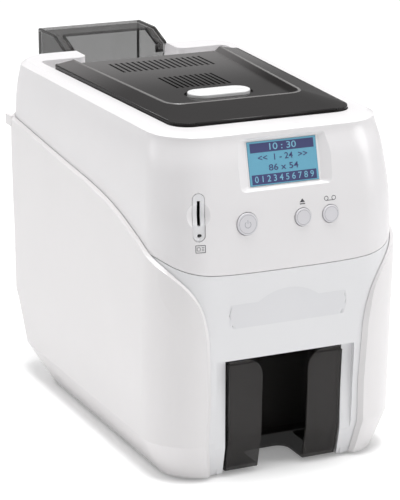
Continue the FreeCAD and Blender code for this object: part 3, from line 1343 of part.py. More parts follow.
# Electronics
def main_board():
    x0, x1 = MAIN_BOARD_X
    plate = box(x0, x1, MAIN_BOARD_Y[0], MAIN_BOARD_Y[1], MAIN_BOARD_Z[0], MAIN_BOARD_Z[1])
    chips = [box(x0 - CHIP_T, x0, y - hy, y + hy, z - hz, z + hz) for y, z, hy, hz in CHIPS]
    plugs = [box(x0 - CONNECTOR_T, x0, y - hy, y + hy, z - hz, z + hz) for y, z, hy, hz in CONNECTORS]
    return join([plate] + chips + plugs)


def port_block(port):
    x0, z0, z1 = port
    return box(x0, MAIN_BOARD_X[0], PORT_FRONT_Y - OVER, PORT_END_Y, z0, z1)


def port_centre(port):
    x0, z0, z1 = port
    return (x0 + MAIN_BOARD_X[0]) * HALF, (z0 + z1) * HALF


def power_port():
    x, z = port_centre(POWER_PORT)
    bore = rod(POWER_PORT_BORE_R, V(x, PORT_END_Y - POWER_PORT_DEPTH, z), Y_AXIS, FAR)
    pin = rod(POWER_PORT_PIN_R, V(x, PORT_END_Y - POWER_PORT_DEPTH - REST_GAP, z), Y_AXIS, POWER_PORT_DEPTH)
    return port_block(POWER_PORT).cut(bore).fuse(pin).removeSplitter()


def usb_port():
    x, z = port_centre(USB_PORT)
    y0 = PORT_END_Y - USB_DEPTH
    room = box(x - USB_HALF_X, x + USB_HALF_X, y0, FAR, z - USB_HALF_Z, z + USB_HALF_Z)
    tongue = box(x - USB_TONGUE_X, x + USB_TONGUE_X, y0 - REST_GAP, PORT_END_Y - REST_GAP,
                 z - USB_TONGUE_Z, z + USB_TONGUE_Z)
    return port_block(USB_PORT).cut(room).fuse(tongue).removeSplitter()


def network_port():
    x, z = port_centre(NETWORK_PORT)
    room = box(x - NETWORK_HALF_X, x + NETWORK_HALF_X, PORT_END_Y - NETWORK_DEPTH, FAR,
               z - NETWORK_HALF_Z, z + NETWORK_HALF_Z)
    return port_block(NETWORK_PORT).cut(room)


def build():
    outer = envelope(0, 0, 0)
    inner = envelope(-WALL, WALL, UNDER_DROP)
    close_fit = envelope(-WALL - REST_GAP, WALL, UNDER_DROP)
    cover_inner = girdle(COVER_GAP, UNDER_DROP)
    cover_outer = girdle(COVER_GAP + COVER_WALL, 0)
    frames = {"lcd": facing(outer, 0, LCD_Z, LCD_TILT, 0),
              "buttons": facing(outer, 0, BUTTON_Z, BUTTON_TILT, 0),
              "key": facing(outer, KEY_X, KEY_Z, BUTTON_TILT, KEY_YAW)}
    nodes = {}
    for node, x, radius in BUTTONS:
        frames[node] = facing(outer, x, BUTTON_Z, BUTTON_TILT, 0)
        nodes[node] = front_button(radius, frames[node])
    nodes["upper_cover"] = upper_cover(outer, inner, frames)
    nodes["lcd_window"] = lcd_window(frames)
    nodes["lcd_module"] = lcd_module(frames)
    nodes["button_board"] = button_board(frames)
    nodes["key_slot_bezel"] = key_slot_bezel(frames)
    nodes["key_reader"] = key_reader(frames)
    nodes["front_panel"] = front_panel(outer, inner)
    nodes["nameplate"] = nameplate(outer)
    nodes["output_hopper"] = output_hopper()
    nodes["left_side_cover"] = left_side_cover(cover_outer, cover_inner)
    nodes["right_side_cover"] = mirrored(nodes["left_side_cover"])
    nodes["rear_panel"] = rear_panel(outer, inner)
    nodes["base_pan"] = base_pan(close_fit)
    for node, x, y in FEET:
        nodes[node] = foot(x, y)
    nodes["frame_plate_left"] = frame_plate_left()
    nodes["frame_plate_right"] = frame_plate_right()
    nodes["cross_plate"] = box(-PLATE_IN, PLATE_IN, CROSS_Y[0], CROSS_Y[1], CROSS_Z[0], CROSS_Z[1])
    nodes["card_guide"] = card_guide()
    for node, y in FEED_NODES:
        nodes[node] = driven_roller(y, SLEEVE_BANDS)
    nodes["platen_roller"] = driven_roller(PLATEN_Y, ((-SLEEVE_HALF, SLEEVE_HALF),))
    nodes["pick_roller"] = driven_roller(PICK_Y, ((-PICK_HALF, PICK_HALF),))
    for node, y in PINCH_NODES:
        nodes[node] = pinch_roller(y)
    nodes["drive_belt"] = drive_belt()
    nodes["transport_motor"] = transport_motor()
    nodes["motor_pulley"] = motor_pulley()
    nodes["top_lid"] = top_lid()
    nodes["lid_hinge_pin"] = lid_hinge_pin()
    nodes["lid_release_button"] = lid_release_button()
    nodes["lid_latch"] = lid_latch()
    nodes["head_bracket"] = head_bracket()
    nodes["print_head"] = print_head()
    nodes["ribbon_cassette"] = ribbon_cassette()
    nodes["supply_spool"] = spool(SUPPLY, SUPPLY_R)
    nodes["takeup_spool"] = spool(TAKEUP, TAKEUP_R)
    nodes["takeup_gear"] = takeup_gear()
    nodes["ribbon_pinion"] = ribbon_pinion()
    nodes["ribbon_motor"] = ribbon_motor()
    nodes["ribbon_film"] = ribbon_film()
    nodes["feeder_base"] = feeder_base()
    nodes["input_hopper"] = input_hopper()
    nodes["card_weight"] = card_weight()
    nodes["main_board"] = main_board()
    nodes["power_port"] = power_port()
    nodes["usb_port"] = usb_port()
    nodes["network_port"] = network_port()
    for shape in nodes.values():
        shape.translate(V(0, -MIDDLE_Y, 0))
    return nodes


def export():
    os.makedirs("parts", exist_ok=True)
    for node, shape in build().items():
        shape.exportStep("parts/" + node + ".step")
        box_of = shape.BoundBox
        print(node, len(shape.Solids), round(shape.Volume), shape.isValid(),
              [round(v, 1) for v in (box_of.XMin, box_of.XMax, box_of.YMin, box_of.YMax,
                                     box_of.ZMin, box_of.ZMax)])


export()
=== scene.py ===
import math

import bmesh
import bpy
from mathutils import Matrix, Vector
from mathutils.bvhtree import BVHTree


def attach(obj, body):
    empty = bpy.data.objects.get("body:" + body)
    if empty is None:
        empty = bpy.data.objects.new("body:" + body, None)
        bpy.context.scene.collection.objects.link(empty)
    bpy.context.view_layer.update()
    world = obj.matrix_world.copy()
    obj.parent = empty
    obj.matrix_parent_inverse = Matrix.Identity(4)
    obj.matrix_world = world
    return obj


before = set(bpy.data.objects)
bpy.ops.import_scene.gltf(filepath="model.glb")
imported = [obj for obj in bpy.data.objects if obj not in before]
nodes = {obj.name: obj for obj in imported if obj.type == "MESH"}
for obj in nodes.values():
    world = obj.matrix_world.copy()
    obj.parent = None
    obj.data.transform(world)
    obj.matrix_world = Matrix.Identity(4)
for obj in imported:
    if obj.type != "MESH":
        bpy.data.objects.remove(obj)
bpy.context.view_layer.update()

MM = 0.001
SHIFT_Y = -1.69          # from the layout's middle to the frame's, in millimetres
IN_FRONT_Y = -1.0        # where rays towards the front start, in metres
FULL_TURN = 2 * math.pi
INTO_FRONT = Vector((0, 1, 0))
UPWARD = Vector((0, 0, 1))


def mm(x, y, z):
    """A place in the layout's millimetres, as metres in the shared frame."""
    return Vector((x * MM, (y + SHIFT_Y) * MM, z * MM))


# Materials
TINT_FROM, TINT_TO = 0.35, 0.65
CLOUD_SCALE, CLOUD_DETAIL = 18.0, 3.0
GLOSS_SCALE, FINE_DETAIL = 60.0, 2.0
SMOKE_CLOUD_SCALE, SMOKE_GLOSS_SCALE, SMOKE_GRAIN = 14.0, 40.0, 700.0
STREAK_SCALE, STREAK_DETAIL = 25.0, 4.0
STREAKS_ALONG_X, STREAKS_ACROSS_X = (1.0, 40.0, 40.0), (40.0, 1.0, 1.0)
GRAIN_DEPTH, FINE_DEPTH = 0.0002, 0.0001


def new_tree(name):
    mat = bpy.data.materials.new(name)
    mat.use_nodes = True
    tree = mat.node_tree
    return mat, tree, tree.nodes["Principled BSDF"]


def object_place(tree):
    return tree.nodes.new("ShaderNodeTexCoord").outputs["Object"]


def noise(tree, scale, detail, coords=None):
    tex = tree.nodes.new("ShaderNodeTexNoise")
    tex.inputs["Scale"].default_value = scale
    tex.inputs["Detail"].default_value = detail
    if coords is None:
        coords = object_place(tree)
    tree.links.new(coords, tex.inputs["Vector"])
    return tex


def scaled(colour, factor):
    return tuple(min(c * factor, 1) for c in colour)


def tint(tree, shader, tex, low, high):
    ramp = tree.nodes.new("ShaderNodeValToRGB")
    ramp.color_ramp.elements[0].position = TINT_FROM
    ramp.color_ramp.elements[1].position = TINT_TO
    ramp.color_ramp.elements[0].color = (*low, 1)
    ramp.color_ramp.elements[1].color = (*high, 1)
    tree.links.new(tex.outputs["Fac"], ramp.inputs["Fac"])
    tree.links.new(ramp.outputs["Color"], shader.inputs["Base Color"])


def rough_range(tree, shader, tex, low, high):
    remap = tree.nodes.new("ShaderNodeMapRange")
    remap.inputs["To Min"].default_value = low
    remap.inputs["To Max"].default_value = high
    tree.links.new(tex.outputs["Fac"], remap.inputs["Value"])
    tree.links.new(remap.outputs["Result"], shader.inputs["Roughness"])


def bump(tree, shader, source, strength, distance):
    node = tree.nodes.new("ShaderNodeBump")
    node.inputs["Strength"].default_value = strength
    node.inputs["Distance"].default_value = distance
    tree.links.new(source, node.inputs["Height"])
    tree.links.new(node.outputs["Normal"], shader.inputs["Normal"])


def moulded(name, colour, rough, grain=1400.0, strength=0.06, coat=0.0, metallic=0.0,
            spread=0.02):
    """Moulded or painted surface: faint cloudiness, fine grain, uneven gloss."""
    mat, tree, shader = new_tree(name)
    cloud = noise(tree, CLOUD_SCALE, CLOUD_DETAIL)
    tint(tree, shader, cloud, scaled(colour, 1 - spread), scaled(colour, 1 + spread))
    gloss = noise(tree, GLOSS_SCALE, FINE_DETAIL)
    rough_range(tree, shader, gloss, rough * 0.85, min(rough * 1.15, 1))
    bump(tree, shader, noise(tree, grain, FINE_DETAIL).outputs["Fac"], strength, GRAIN_DEPTH)
    shader.inputs["Metallic"].default_value = metallic
    shader.inputs["Coat Weight"].default_value = coat
    shader.inputs["Coat Roughness"].default_value = 0.12
    return mat


def painted_reflection_to_rear(tree, shader, light, start, end):
    """Painted reflection: blend the base colour into a lighter one between two places along
    the depth.
    """
    split = tree.nodes.new("ShaderNodeSeparateXYZ")
    tree.links.new(object_place(tree), split.inputs[0])
    share = tree.nodes.new("ShaderNodeMapRange")
    share.interpolation_type = "SMOOTHSTEP"
    share.inputs["From Min"].default_value = start
    share.inputs["From Max"].default_value = end
    tree.links.new(split.outputs["Y"], share.inputs["Value"])
    blend = tree.nodes.new("ShaderNodeMix")
    blend.data_type = "RGBA"
    tree.links.new(share.outputs["Result"], blend.inputs["Factor"])
    tree.links.new(shader.inputs["Base Color"].links[0].from_socket, blend.inputs["A"])
    blend.inputs["B"].default_value = (*light, 1)
    tree.links.new(blend.outputs["Result"], shader.inputs["Base Color"])


def smoked(name, colour, alpha, rough, gloss, rear=None):
    """Tinted see-through plastic; rear is a painted reflection, a lighter tint with its start
    and end, in metres.
    """
    mat, tree, shader = new_tree(name)
    cloud = noise(tree, SMOKE_CLOUD_SCALE, FINE_DETAIL)
    tint(tree, shader, cloud, scaled(colour, 0.92), scaled(colour, 1.08))
    if rear:
        painted_reflection_to_rear(tree, shader, *rear)
    uneven = noise(tree, SMOKE_GLOSS_SCALE, FINE_DETAIL)
    rough_range(tree, shader, uneven, rough * 0.8, rough * 1.2)
    grain = noise(tree, SMOKE_GRAIN, FINE_DETAIL)
    bump(tree, shader, grain.outputs["Fac"], 0.05, GRAIN_DEPTH)
    shader.inputs["Alpha"].default_value = alpha
    shader.inputs["Specular IOR Level"].default_value = gloss
    return mat


def brushed(name, colour, rough, stretch=STREAKS_ALONG_X):
    """Bare metal with fine streaks."""
    mat, tree, shader = new_tree(name)
    mapping = tree.nodes.new("ShaderNodeMapping")
    mapping.inputs["Scale"].default_value = stretch
    tree.links.new(object_place(tree), mapping.inputs["Vector"])
    streaks = noise(tree, STREAK_SCALE, STREAK_DETAIL, mapping.outputs["Vector"])
    tint(tree, shader, streaks, scaled(colour, 0.9), scaled(colour, 1.08))
    rough_range(tree, shader, streaks, rough * 0.75, rough * 1.25)
    bump(tree, shader, streaks.outputs["Fac"], 0.1, FINE_DEPTH)
    shader.inputs["Metallic"].default_value = 1.0
    return mat


def circuit(name):
    """Solder mask with tracks and pads."""
    mat, tree, shader = new_tree(name)
    brick = tree.nodes.new("ShaderNodeTexBrick")
    brick.inputs["Scale"].default_value = 120.0
    brick.inputs["Mortar Size"].default_value = 0.03
    brick.inputs["Color1"].default_value = (0.010, 0.075, 0.032, 1)
    brick.inputs["Color2"].default_value = (0.014, 0.100, 0.042, 1)
    brick.inputs["Mortar"].default_value = (0.05, 0.19, 0.08, 1)
    swap = tree.nodes.new("ShaderNodeMapping")
    swap.inputs["Rotation"].default_value = (0.0, math.radians(90), 0.0)
    tree.links.new(object_place(tree), swap.inputs["Vector"])
    tree.links.new(swap.outputs["Vector"], brick.inputs["Vector"])
    tree.links.new(brick.outputs["Color"], shader.inputs["Base Color"])
    bump(tree, shader, brick.outputs["Fac"], 0.15, FINE_DEPTH)
    shader.inputs["Roughness"].default_value = 0.35
    return mat


def display(name):
    """Lit blue display with a faint dot grid."""
    mat, tree, shader = new_tree(name)
    grid = tree.nodes.new("ShaderNodeTexChecker")
    grid.inputs["Scale"].default_value = 1800.0
    grid.inputs["Color1"].default_value = (0.112, 0.315, 0.435, 1)
    grid.inputs["Color2"].default_value = (0.130, 0.340, 0.460, 1)
    tree.links.new(object_place(tree), grid.inputs["Vector"])
    tree.links.new(grid.outputs["Color"], shader.inputs["Base Color"])
    tree.links.new(grid.outputs["Color"], shader.inputs["Emission Color"])
    shader.inputs["Emission Strength"].default_value = 0.25
    shader.inputs["Roughness"].default_value = 0.22
    shader.inputs["Coat Weight"].default_value = 0.6
    return mat


def wound(name, colour):
    """Film wound on a roll: fine turns along the axle."""
    mat, tree, shader = new_tree(name)
    wave = tree.nodes.new("ShaderNodeTexWave")
    wave.bands_direction = "X"
    wave.inputs["Scale"].default_value = 160.0
    wave.inputs["Distortion"].default_value = 1.5
    tree.links.new(object_place(tree), wave.inputs["Vector"])
    tint(tree, shader, wave, scaled(colour, 0.85), colour)
    bump(tree, shader, wave.outputs["Fac"], 0.05, FINE_DEPTH)
    shader.inputs["Roughness"].default_value = 0.2
    shader.inputs["Coat Weight"].default_value = 0.5
    return mat


WHITE = moulded("gloss_white", (0.80, 0.785, 0.795), 0.30,
                grain=900.0, strength=0.03, coat=0.2, spread=0.006)
SIDE = moulded("satin_white", (0.81, 0.792, 0.797), 0.36,
               grain=1100.0, strength=0.05, coat=0.1, spread=0.006)
FRONT = moulded("front_white", (0.79, 0.79, 0.805), 0.36,
                grain=1100.0, strength=0.05, spread=0.006)
INLAY = moulded("inlay_white", (0.74, 0.74, 0.76), 0.42,
                grain=1500.0, strength=0.08, spread=0.01)
# The lid's colour turns lighter towards the rear: a painted reflection.
SMOKE = smoked("smoked_lid", (0.012, 0.0105, 0.0105), 0.98, 0.16, 0.12,
               ((0.13, 0.125, 0.125), -0.06, 0.085))
SMOKE_TRAY = smoked("smoked_tray", (0.036, 0.033, 0.032), 0.55, 0.14, 0.35)
SMOKE_HOPPER = smoked("smoked_hopper", (0.034, 0.031, 0.030), 0.7, 0.16, 0.3)
# Dark edge colour; on the lid's rim it is painted shadow of the gap round the lid.
EDGE_DARK_AND_PAINTED_SHADOW = moulded("edge_dark_and_painted_shadow", (0.008, 0.007, 0.007), 0.4, spread=0.1)
# Much lighter than the lid, standing for the highlight on the ridge's rounded edge: painted
# highlight.
CREST_PAINTED_HIGHLIGHT = moulded("crest_painted_highlight", (0.19, 0.185, 0.183), 0.22, grain=700.0, spread=0.05)
BUTTON = moulded("button_white", (0.68, 0.67, 0.70), 0.40, coat=0.1, spread=0.01)
OVAL = moulded("oval_white", (0.84, 0.84, 0.84), 0.28, coat=0.3, spread=0.006)
DARK = moulded("moulded_black", (0.018, 0.018, 0.019), 0.45,
               grain=800.0, strength=0.15, spread=0.15)
RUBBER = moulded("rubber_black", (0.022, 0.022, 0.023), 0.75,
                 grain=500.0, strength=0.3, spread=0.2)
ROLLER = moulded("roller_rubber", (0.045, 0.045, 0.048), 0.65,
                 grain=600.0, strength=0.25, spread=0.15)
TACKY = moulded("tacky_blue", (0.04, 0.17, 0.42), 0.55,
                grain=500.0, strength=0.15, spread=0.1)
IVORY = moulded("ivory_moulding", (0.62, 0.60, 0.54), 0.45, spread=0.04)
NAVY = moulded("cassette_navy", (0.030, 0.045, 0.090), 0.42, spread=0.08)
PAN = moulded("powder_grey", (0.26, 0.26, 0.27), 0.6, grain=700.0, strength=0.3, spread=0.05)
MOTOR = moulded("motor_black", (0.025, 0.025, 0.027), 0.5,
                grain=300.0, strength=0.25, metallic=0.4, spread=0.15)
WEIGHT = moulded("weight_grey", (0.09, 0.09, 0.10), 0.45,
                 grain=500.0, strength=0.2, spread=0.08)
SHEET = brushed("zinc_sheet", (0.56, 0.57, 0.58), 0.38)
TURNED = brushed("turned_metal", (0.62, 0.62, 0.64), 0.28, STREAKS_ACROSS_X)
FOLDED = brushed("folded_alloy", (0.26, 0.265, 0.28), 0.5, STREAKS_ACROSS_X)
ALLOY = brushed("milled_alloy", (0.66, 0.66, 0.68), 0.3)
BOARD = circuit("solder_mask")
SCREEN = display("display_blue")
FILM = wound("wound_film", (0.050, 0.040, 0.070))
INK = moulded("print_grey", (0.07, 0.07, 0.08), 0.55, spread=0.1)
PALE_INK = moulded("print_pale", (0.34, 0.34, 0.37), 0.5, spread=0.05)
SCREEN_NAVY = moulded("screen_navy", (0.055, 0.062, 0.170), 0.35, spread=0.08)
SCREEN_PALE = moulded("screen_pale", (0.200, 0.460, 0.620), 0.35, spread=0.05)
LED = moulded("led_dark", (0.020, 0.020, 0.022), 0.2, coat=0.4, spread=0.1)

LOOKS = {
    WHITE: ["upper_cover"],
    SIDE: ["left_side_cover", "right_side_cover", "feeder_base"],
    FRONT: ["front_panel", "rear_panel", "key_slot_bezel"],
    INLAY: ["nameplate"],
    SMOKE: ["top_lid"],
    SMOKE_TRAY: ["input_hopper"],
    SMOKE_HOPPER: ["output_hopper"],
    BUTTON: ["power_button", "eject_button", "ribbon_button"],
    OVAL: ["lid_release_button"],
    SCREEN: ["lcd_window"],
    DARK: ["key_reader", "card_guide", "power_port", "usb_port", "network_port", "lid_latch"],
    RUBBER: ["foot_front_left", "foot_front_right", "foot_rear_left", "foot_rear_right",
             "drive_belt"],
    ROLLER: ["feed_roller_rear", "feed_roller_centre", "feed_roller_front", "feed_roller_exit",
             "exit_roller", "platen_roller", "pick_roller"],
    TACKY: ["cleaning_roller"],
    IVORY: ["pinch_roller_centre", "pinch_roller_front", "pinch_roller_exit",
            "exit_pinch_roller", "takeup_gear", "ribbon_pinion"],
    NAVY: ["ribbon_cassette"],
    PAN: ["base_pan"],
    MOTOR: ["transport_motor", "ribbon_motor"],
    WEIGHT: ["card_weight"],
    SHEET: ["frame_plate_left", "frame_plate_right", "cross_plate", "lcd_module"],
    TURNED: ["motor_pulley", "lid_hinge_pin"],
    FOLDED: ["head_bracket"],
    ALLOY: ["print_head"],
    BOARD: ["main_board", "button_board"],
    FILM: ["supply_spool", "takeup_spool", "ribbon_film"],
}
for look, names in LOOKS.items():
    for name in names:
        for material_slot in nodes[name].material_slots:
            material_slot.material = look


# Mesh helpers
def place_piece(name, mesh, look, body):
    obj = bpy.data.objects.new(name, mesh)
    bpy.context.scene.collection.objects.link(obj)
    mesh.materials.append(look)
    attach(obj, body)


def finish_mesh(name, bm, look, body, smooth=False):
    mesh = bpy.data.meshes.new(name)
    bm.to_mesh(mesh)
    bm.free()
    if smooth:
        mesh.shade_smooth()
    place_piece(name, mesh, look, body)


def surface_of(name):
    source = nodes[name]
    mesh = source.data
    points = [source.matrix_world @ v.co for v in mesh.vertices]
    mesh.calc_loop_triangles()
    return BVHTree.FromPolygons(points, [tuple(t.vertices) for t in mesh.loop_triangles])


def front_hit(tree, x, z):
    """Place and outward direction of a surface as seen from straight ahead."""
    start = Vector((x * MM, IN_FRONT_Y, z * MM))
    place, normal, _, _ = tree.ray_cast(start, INTO_FRONT)
    return place, normal


def cross_axes(axis):
    side = axis.orthogonal().normalized()
    return side, axis.cross(side)


def ring(bm, centre, side, other, radius, sides):
    turns = [FULL_TURN * k / sides for k in range(sides)]
    return [bm.verts.new(centre + (side * math.cos(t) + other * math.sin(t)) * radius)
            for t in turns]


def walls(bm, rings):
    for a, b in zip(rings, rings[1:]):
        for k in range(len(a)):
            j = (k + 1) % len(a)
            bm.faces.new((a[k], a[j], b[j], b[k]))


def capped_walls(bm, rings):
    walls(bm, rings)
    bm.faces.new(rings[0][::-1])
    bm.faces.new(rings[-1])


# Printed marks on the front of a surface, drawn in millimetres of x and z
STROKE_STEP = 0.5


def walk(line):
    """Points along a line, no further apart than about a step."""
    fine = []
    for (xa, za), (xb, zb) in zip(line, line[1:]):
        count = max(int(math.hypot(xb - xa, zb - za) / STROKE_STEP), 1)
        fine += [(xa + (xb - xa) * k / count, za + (zb - za) * k / count)
                 for k in range(count)]
    fine.append(line[-1])
    return fine


def strokes(name, tree, lines, width, lift, look, body):
    """Flat strokes of one width along each line."""
    bm = bmesh.new()
    for line in lines:
        fine = walk(line)
        closed = len(line) > 2 and line[0] == line[-1]
        rows = []
        for i, (x, z) in enumerate(fine):
            before = fine[i - 1] if i else (fine[-2] if closed else fine[0])
            after = fine[i + 1] if i + 1 < len(fine) else (fine[1] if closed else fine[-1])
            dx, dz = after[0] - before[0], after[1] - before[1]
            length = math.hypot(dx, dz) or 1.0
            nx, nz = -dz / length * width / 2, dx / length * width / 2
            row = []
            for side in (-1, 1):
                place, normal = front_hit(tree, x + nx * side, z + nz * side)
                row.append(bm.verts.new(place + normal * lift * MM))
            rows.append(row)
        for a, b in zip(rows, rows[1:]):
            bm.faces.new((a[0], a[1], b[1], b[0]))
    bmesh.ops.recalc_face_normals(bm, faces=bm.faces)
    finish_mesh(name, bm, look, body)


def patch(name, tree, outline, lift, look, body):
    """Flat patch inside an outline."""
    bm = bmesh.new()
    corners = []
    for x, z in outline:
        place, normal = front_hit(tree, x, z)
        corners.append(bm.verts.new(place + normal * lift * MM))
    bm.faces.new(corners)
    bmesh.ops.recalc_face_normals(bm, faces=bm.faces)
    finish_mesh(name, bm, look, body)


def arc(cx, cz, radius, start=0, end=360, count=20):
    turns = [math.radians(start + (end - start) * i / count) for i in range(count + 1)]
    return [(cx + radius * math.cos(t), cz + radius * math.sin(t)) for t in turns]


def rect(x0, x1, z0, z1):
    return [(x0, z0), (x1, z0), (x1, z1), (x0, z1), (x0, z0)]


# Front controls: the power symbol, the rims of the keys and the pictograms
CONTROL_Z = 192.4
POWER_X, EJECT_X, RIBBON_X = -33.1, 11.0, 33.2
POWER_RIM_R, POWER_RIM_STEPS, KEY_RIM_R, KEY_RIM_STEPS = 6.6, 48, 5.2, 40
RIM_WIDTH, RIM_LIFT = 0.25, 0.04
SYMBOL_R, SYMBOL_ARC, SYMBOL_DROP, SYMBOL_BAR = 2.3, (125, 415), 0.3, (0.4, 3.0)
SYMBOL_WIDTH, SYMBOL_LIFT = 0.42, 0.05
INK_LIFT = 0.06
EJECT_HALF, EJECT_LOW_Z, EJECT_TIP_Z, EJECT_BAR_Z = 2.1, 203.0, 205.6, 201.9
EJECT_BAR_WIDTH = 0.7
REELS_X, REEL_Z, REEL_R, REEL_WIDTH = (30.2, 36.2), 203.6, 1.5, 0.45
CARD_OUTLINE, CARD_OUTLINE_WIDTH = (-72.4, -65.8, 175.6, 180.8), 0.45
CARD_CHIP = (-71.5, -69.4, 177.0, 179.4)
CARD_LINES_X, CARD_LINES_Z, CARD_LINES_WIDTH = (-68.4, -66.6), (179.3, 178.2, 177.1), 0.35

cover = surface_of("upper_cover")
power = surface_of("power_button")
symbol = [arc(POWER_X, CONTROL_Z - SYMBOL_DROP, SYMBOL_R, *SYMBOL_ARC),
          [(POWER_X, CONTROL_Z + rise) for rise in SYMBOL_BAR]]
strokes("power_symbol", power, symbol, SYMBOL_WIDTH, SYMBOL_LIFT, PALE_INK,
        "power_button")
strokes("power_rim", power, [arc(POWER_X, CONTROL_Z, POWER_RIM_R, count=POWER_RIM_STEPS)],
        RIM_WIDTH, RIM_LIFT, PALE_INK, "power_button")
for label, x in (("eject", EJECT_X), ("ribbon", RIBBON_X)):
    key = label + "_button"
    strokes(label + "_rim", surface_of(key),
            [arc(x, CONTROL_Z, KEY_RIM_R, count=KEY_RIM_STEPS)],
            RIM_WIDTH, RIM_LIFT, PALE_INK, key)


def cover_strokes(name, lines, width):
    strokes(name, cover, lines, width, INK_LIFT, INK, "housing")


eject_sides = (EJECT_X - EJECT_HALF, EJECT_X + EJECT_HALF)
triangle = [(x, EJECT_LOW_Z) for x in eject_sides] + [(EJECT_X, EJECT_TIP_Z)]
patch("eject_triangle", cover, triangle, INK_LIFT, INK, "housing")
cover_strokes("eject_bar", [[(x, EJECT_BAR_Z) for x in eject_sides]], EJECT_BAR_WIDTH)
reels = [arc(x, REEL_Z, REEL_R) for x in REELS_X]
cover_strokes("ribbon_mark", reels + [[(x, REEL_Z - REEL_R) for x in REELS_X]], REEL_WIDTH)
cover_strokes("card_mark_outline", [rect(*CARD_OUTLINE)], CARD_OUTLINE_WIDTH)
card_lines = [[(x, z) for x in CARD_LINES_X] for z in CARD_LINES_Z]
cover_strokes("card_mark_lines", card_lines + [rect(*CARD_CHIP)], CARD_LINES_WIDTH)


# Display contents: plain numbers and bars, on the window's own plane
WINDOW_LOW_Z, WINDOW_MIDDLE_Z, WINDOW_HIGH_Z = 222, 232, 242
BAND_LIFT, TEXT_LIFT, TEXT_WEIGHT = 0.05, 0.1, 0.06


def screen_frame():
    window = surface_of("lcd_window")
    low, _ = front_hit(window, 0, WINDOW_LOW_Z)
    middle, _ = front_hit(window, 0, WINDOW_MIDDLE_Z)
    high, _ = front_hit(window, 0, WINDOW_HIGH_Z)
    rise = (high - low).normalized()
    across = Vector((1, 0, 0))
    tilt = Matrix((across, rise, across.cross(rise))).transposed().to_4x4()
    return Matrix.Translation(middle) @ tilt


SCREEN_AT = screen_frame()


def screen_bar(name, x0, x1, y0, y1, look):
    bm = bmesh.new()
    bm.faces.new([bm.verts.new(SCREEN_AT @ Vector((x * MM, y * MM, BAND_LIFT * MM)))
                  for x, y in rect(x0, x1, y0, y1)[:4]])
    finish_mesh(name, bm, look, "housing")


def screen_text(name, text, y, size, look, wide):
    """One centred row; wide stretches it across the window."""
    curve = bpy.data.curves.new(name, "FONT")
    curve.body = text
    curve.size = size * MM
    curve.align_x = "CENTER"
    curve.align_y = "CENTER"
    curve.offset = TEXT_WEIGHT * MM
    made = bpy.data.objects.new(name, curve)
    bpy.context.scene.collection.objects.link(made)
    bpy.context.view_layer.update()
    drawn = made.evaluated_get(bpy.context.evaluated_depsgraph_get())
    flat = bpy.data.meshes.new_from_object(drawn)
    bpy.data.objects.remove(made)
    place = Matrix.Translation((0, y * MM, TEXT_LIFT * MM))
    flat.transform(SCREEN_AT @ place @ Matrix.Diagonal((wide, 1, 1, 1)))
    flat.materials.clear()
    place_piece(name, flat, look, "housing")


screen_bar("screen_band_top", -25.2, 25.2, 7.9, 14.6, SCREEN_NAVY)
screen_text("screen_row_1", "10 : 30", 11.2, 6.6, SCREEN_PALE, 1.25)
screen_text("screen_row_2", "<<  1 - 24  >>", 3.7, 6.2, SCREEN_NAVY, 1.1)
screen_text("screen_row_3", "86 x 54", -3.6, 6.2, SCREEN_NAVY, 1.25)
screen_bar("screen_band_low", -25.6, 25.6, -14.6, -7.7, SCREEN_NAVY)
screen_text("screen_row_4", "0 1 2 3 4 5 6 7 8 9", -11.2, 6.4, SCREEN_PALE, 0.98)


# Unlit status light at the end of the key slot's bezel
LED_AT, LED_SHIFT = (-67.5, 187.6), (-1.3, 0.3, 0.0)
LED_R, LED_RISE, LED_RINGS, LED_SIDES = 1.1, 0.5, 5, 24


def dome(name, centre, radius, height, axis, look, body):
    bm = bmesh.new()
    side, other = cross_axes(axis)
    rings = []
    for i in range(LED_RINGS):
        t = math.pi / 2 * i / LED_RINGS
        rings.append(ring(bm, centre + axis * height * math.sin(t), side, other,
                          radius * math.cos(t), LED_SIDES))
    top = bm.verts.new(centre + axis * height)
    walls(bm, rings)
    for k in range(LED_SIDES):
        bm.faces.new((rings[-1][k], rings[-1][(k + 1) % LED_SIDES], top))
    bm.faces.new(rings[0][::-1])
    finish_mesh(name, bm, look, body, smooth=True)


bezel_place, bezel_normal = front_hit(surface_of("key_slot_bezel"), *LED_AT)
dome("status_led", bezel_place + Vector(LED_SHIFT) * MM, LED_R * MM, LED_RISE * MM,
     bezel_normal, LED, "housing")


# Film over the inlay on the front, closing the fine gap round it
FILM_BOTTOM_Z, FILM_TOP_Z, FILM_SIDE_Z, FILM_ARCH_Z = 115.6, 133.9, 126.0, 141.9
FILM_BOTTOM_HALF, FILM_TOP_HALF, FILM_SIDE_HALF, FILM_ARCH_HALF = 44.0, 45.7, 47.3, 23.9
FILM_STEP, FILM_STEPS, FILM_ROWS, FILM_LIFT = 1.2, 36, 10, 0.06
FILM_END_X = (44.8, 46.2, 46.7, 47.0, 47.2)


def corner_share(across, start):
    """Share of a rounded corner's height used up, 0 where it starts and 1 at the side."""
    t = min((across - start) / (FILM_SIDE_HALF - start), 1.0)
    return 1 - math.sqrt(1 - t * t)


def film_span(x):
    """Lowest and highest point of the film at one place across the front."""
    across = abs(x)
    low, high = FILM_BOTTOM_Z, FILM_TOP_Z
    if across > FILM_BOTTOM_HALF:
        low += (FILM_SIDE_Z - FILM_BOTTOM_Z) * corner_share(across, FILM_BOTTOM_HALF)
    if across > FILM_TOP_HALF:
        high -= (FILM_TOP_Z - FILM_SIDE_Z) * corner_share(across, FILM_TOP_HALF)
    if across < FILM_ARCH_HALF:
        rise = FILM_ARCH_Z - FILM_TOP_Z
        radius = (FILM_ARCH_HALF ** 2 + rise ** 2) / (2 * rise)
        high = FILM_ARCH_Z - radius + math.sqrt(radius ** 2 - x * x)
    return low, high


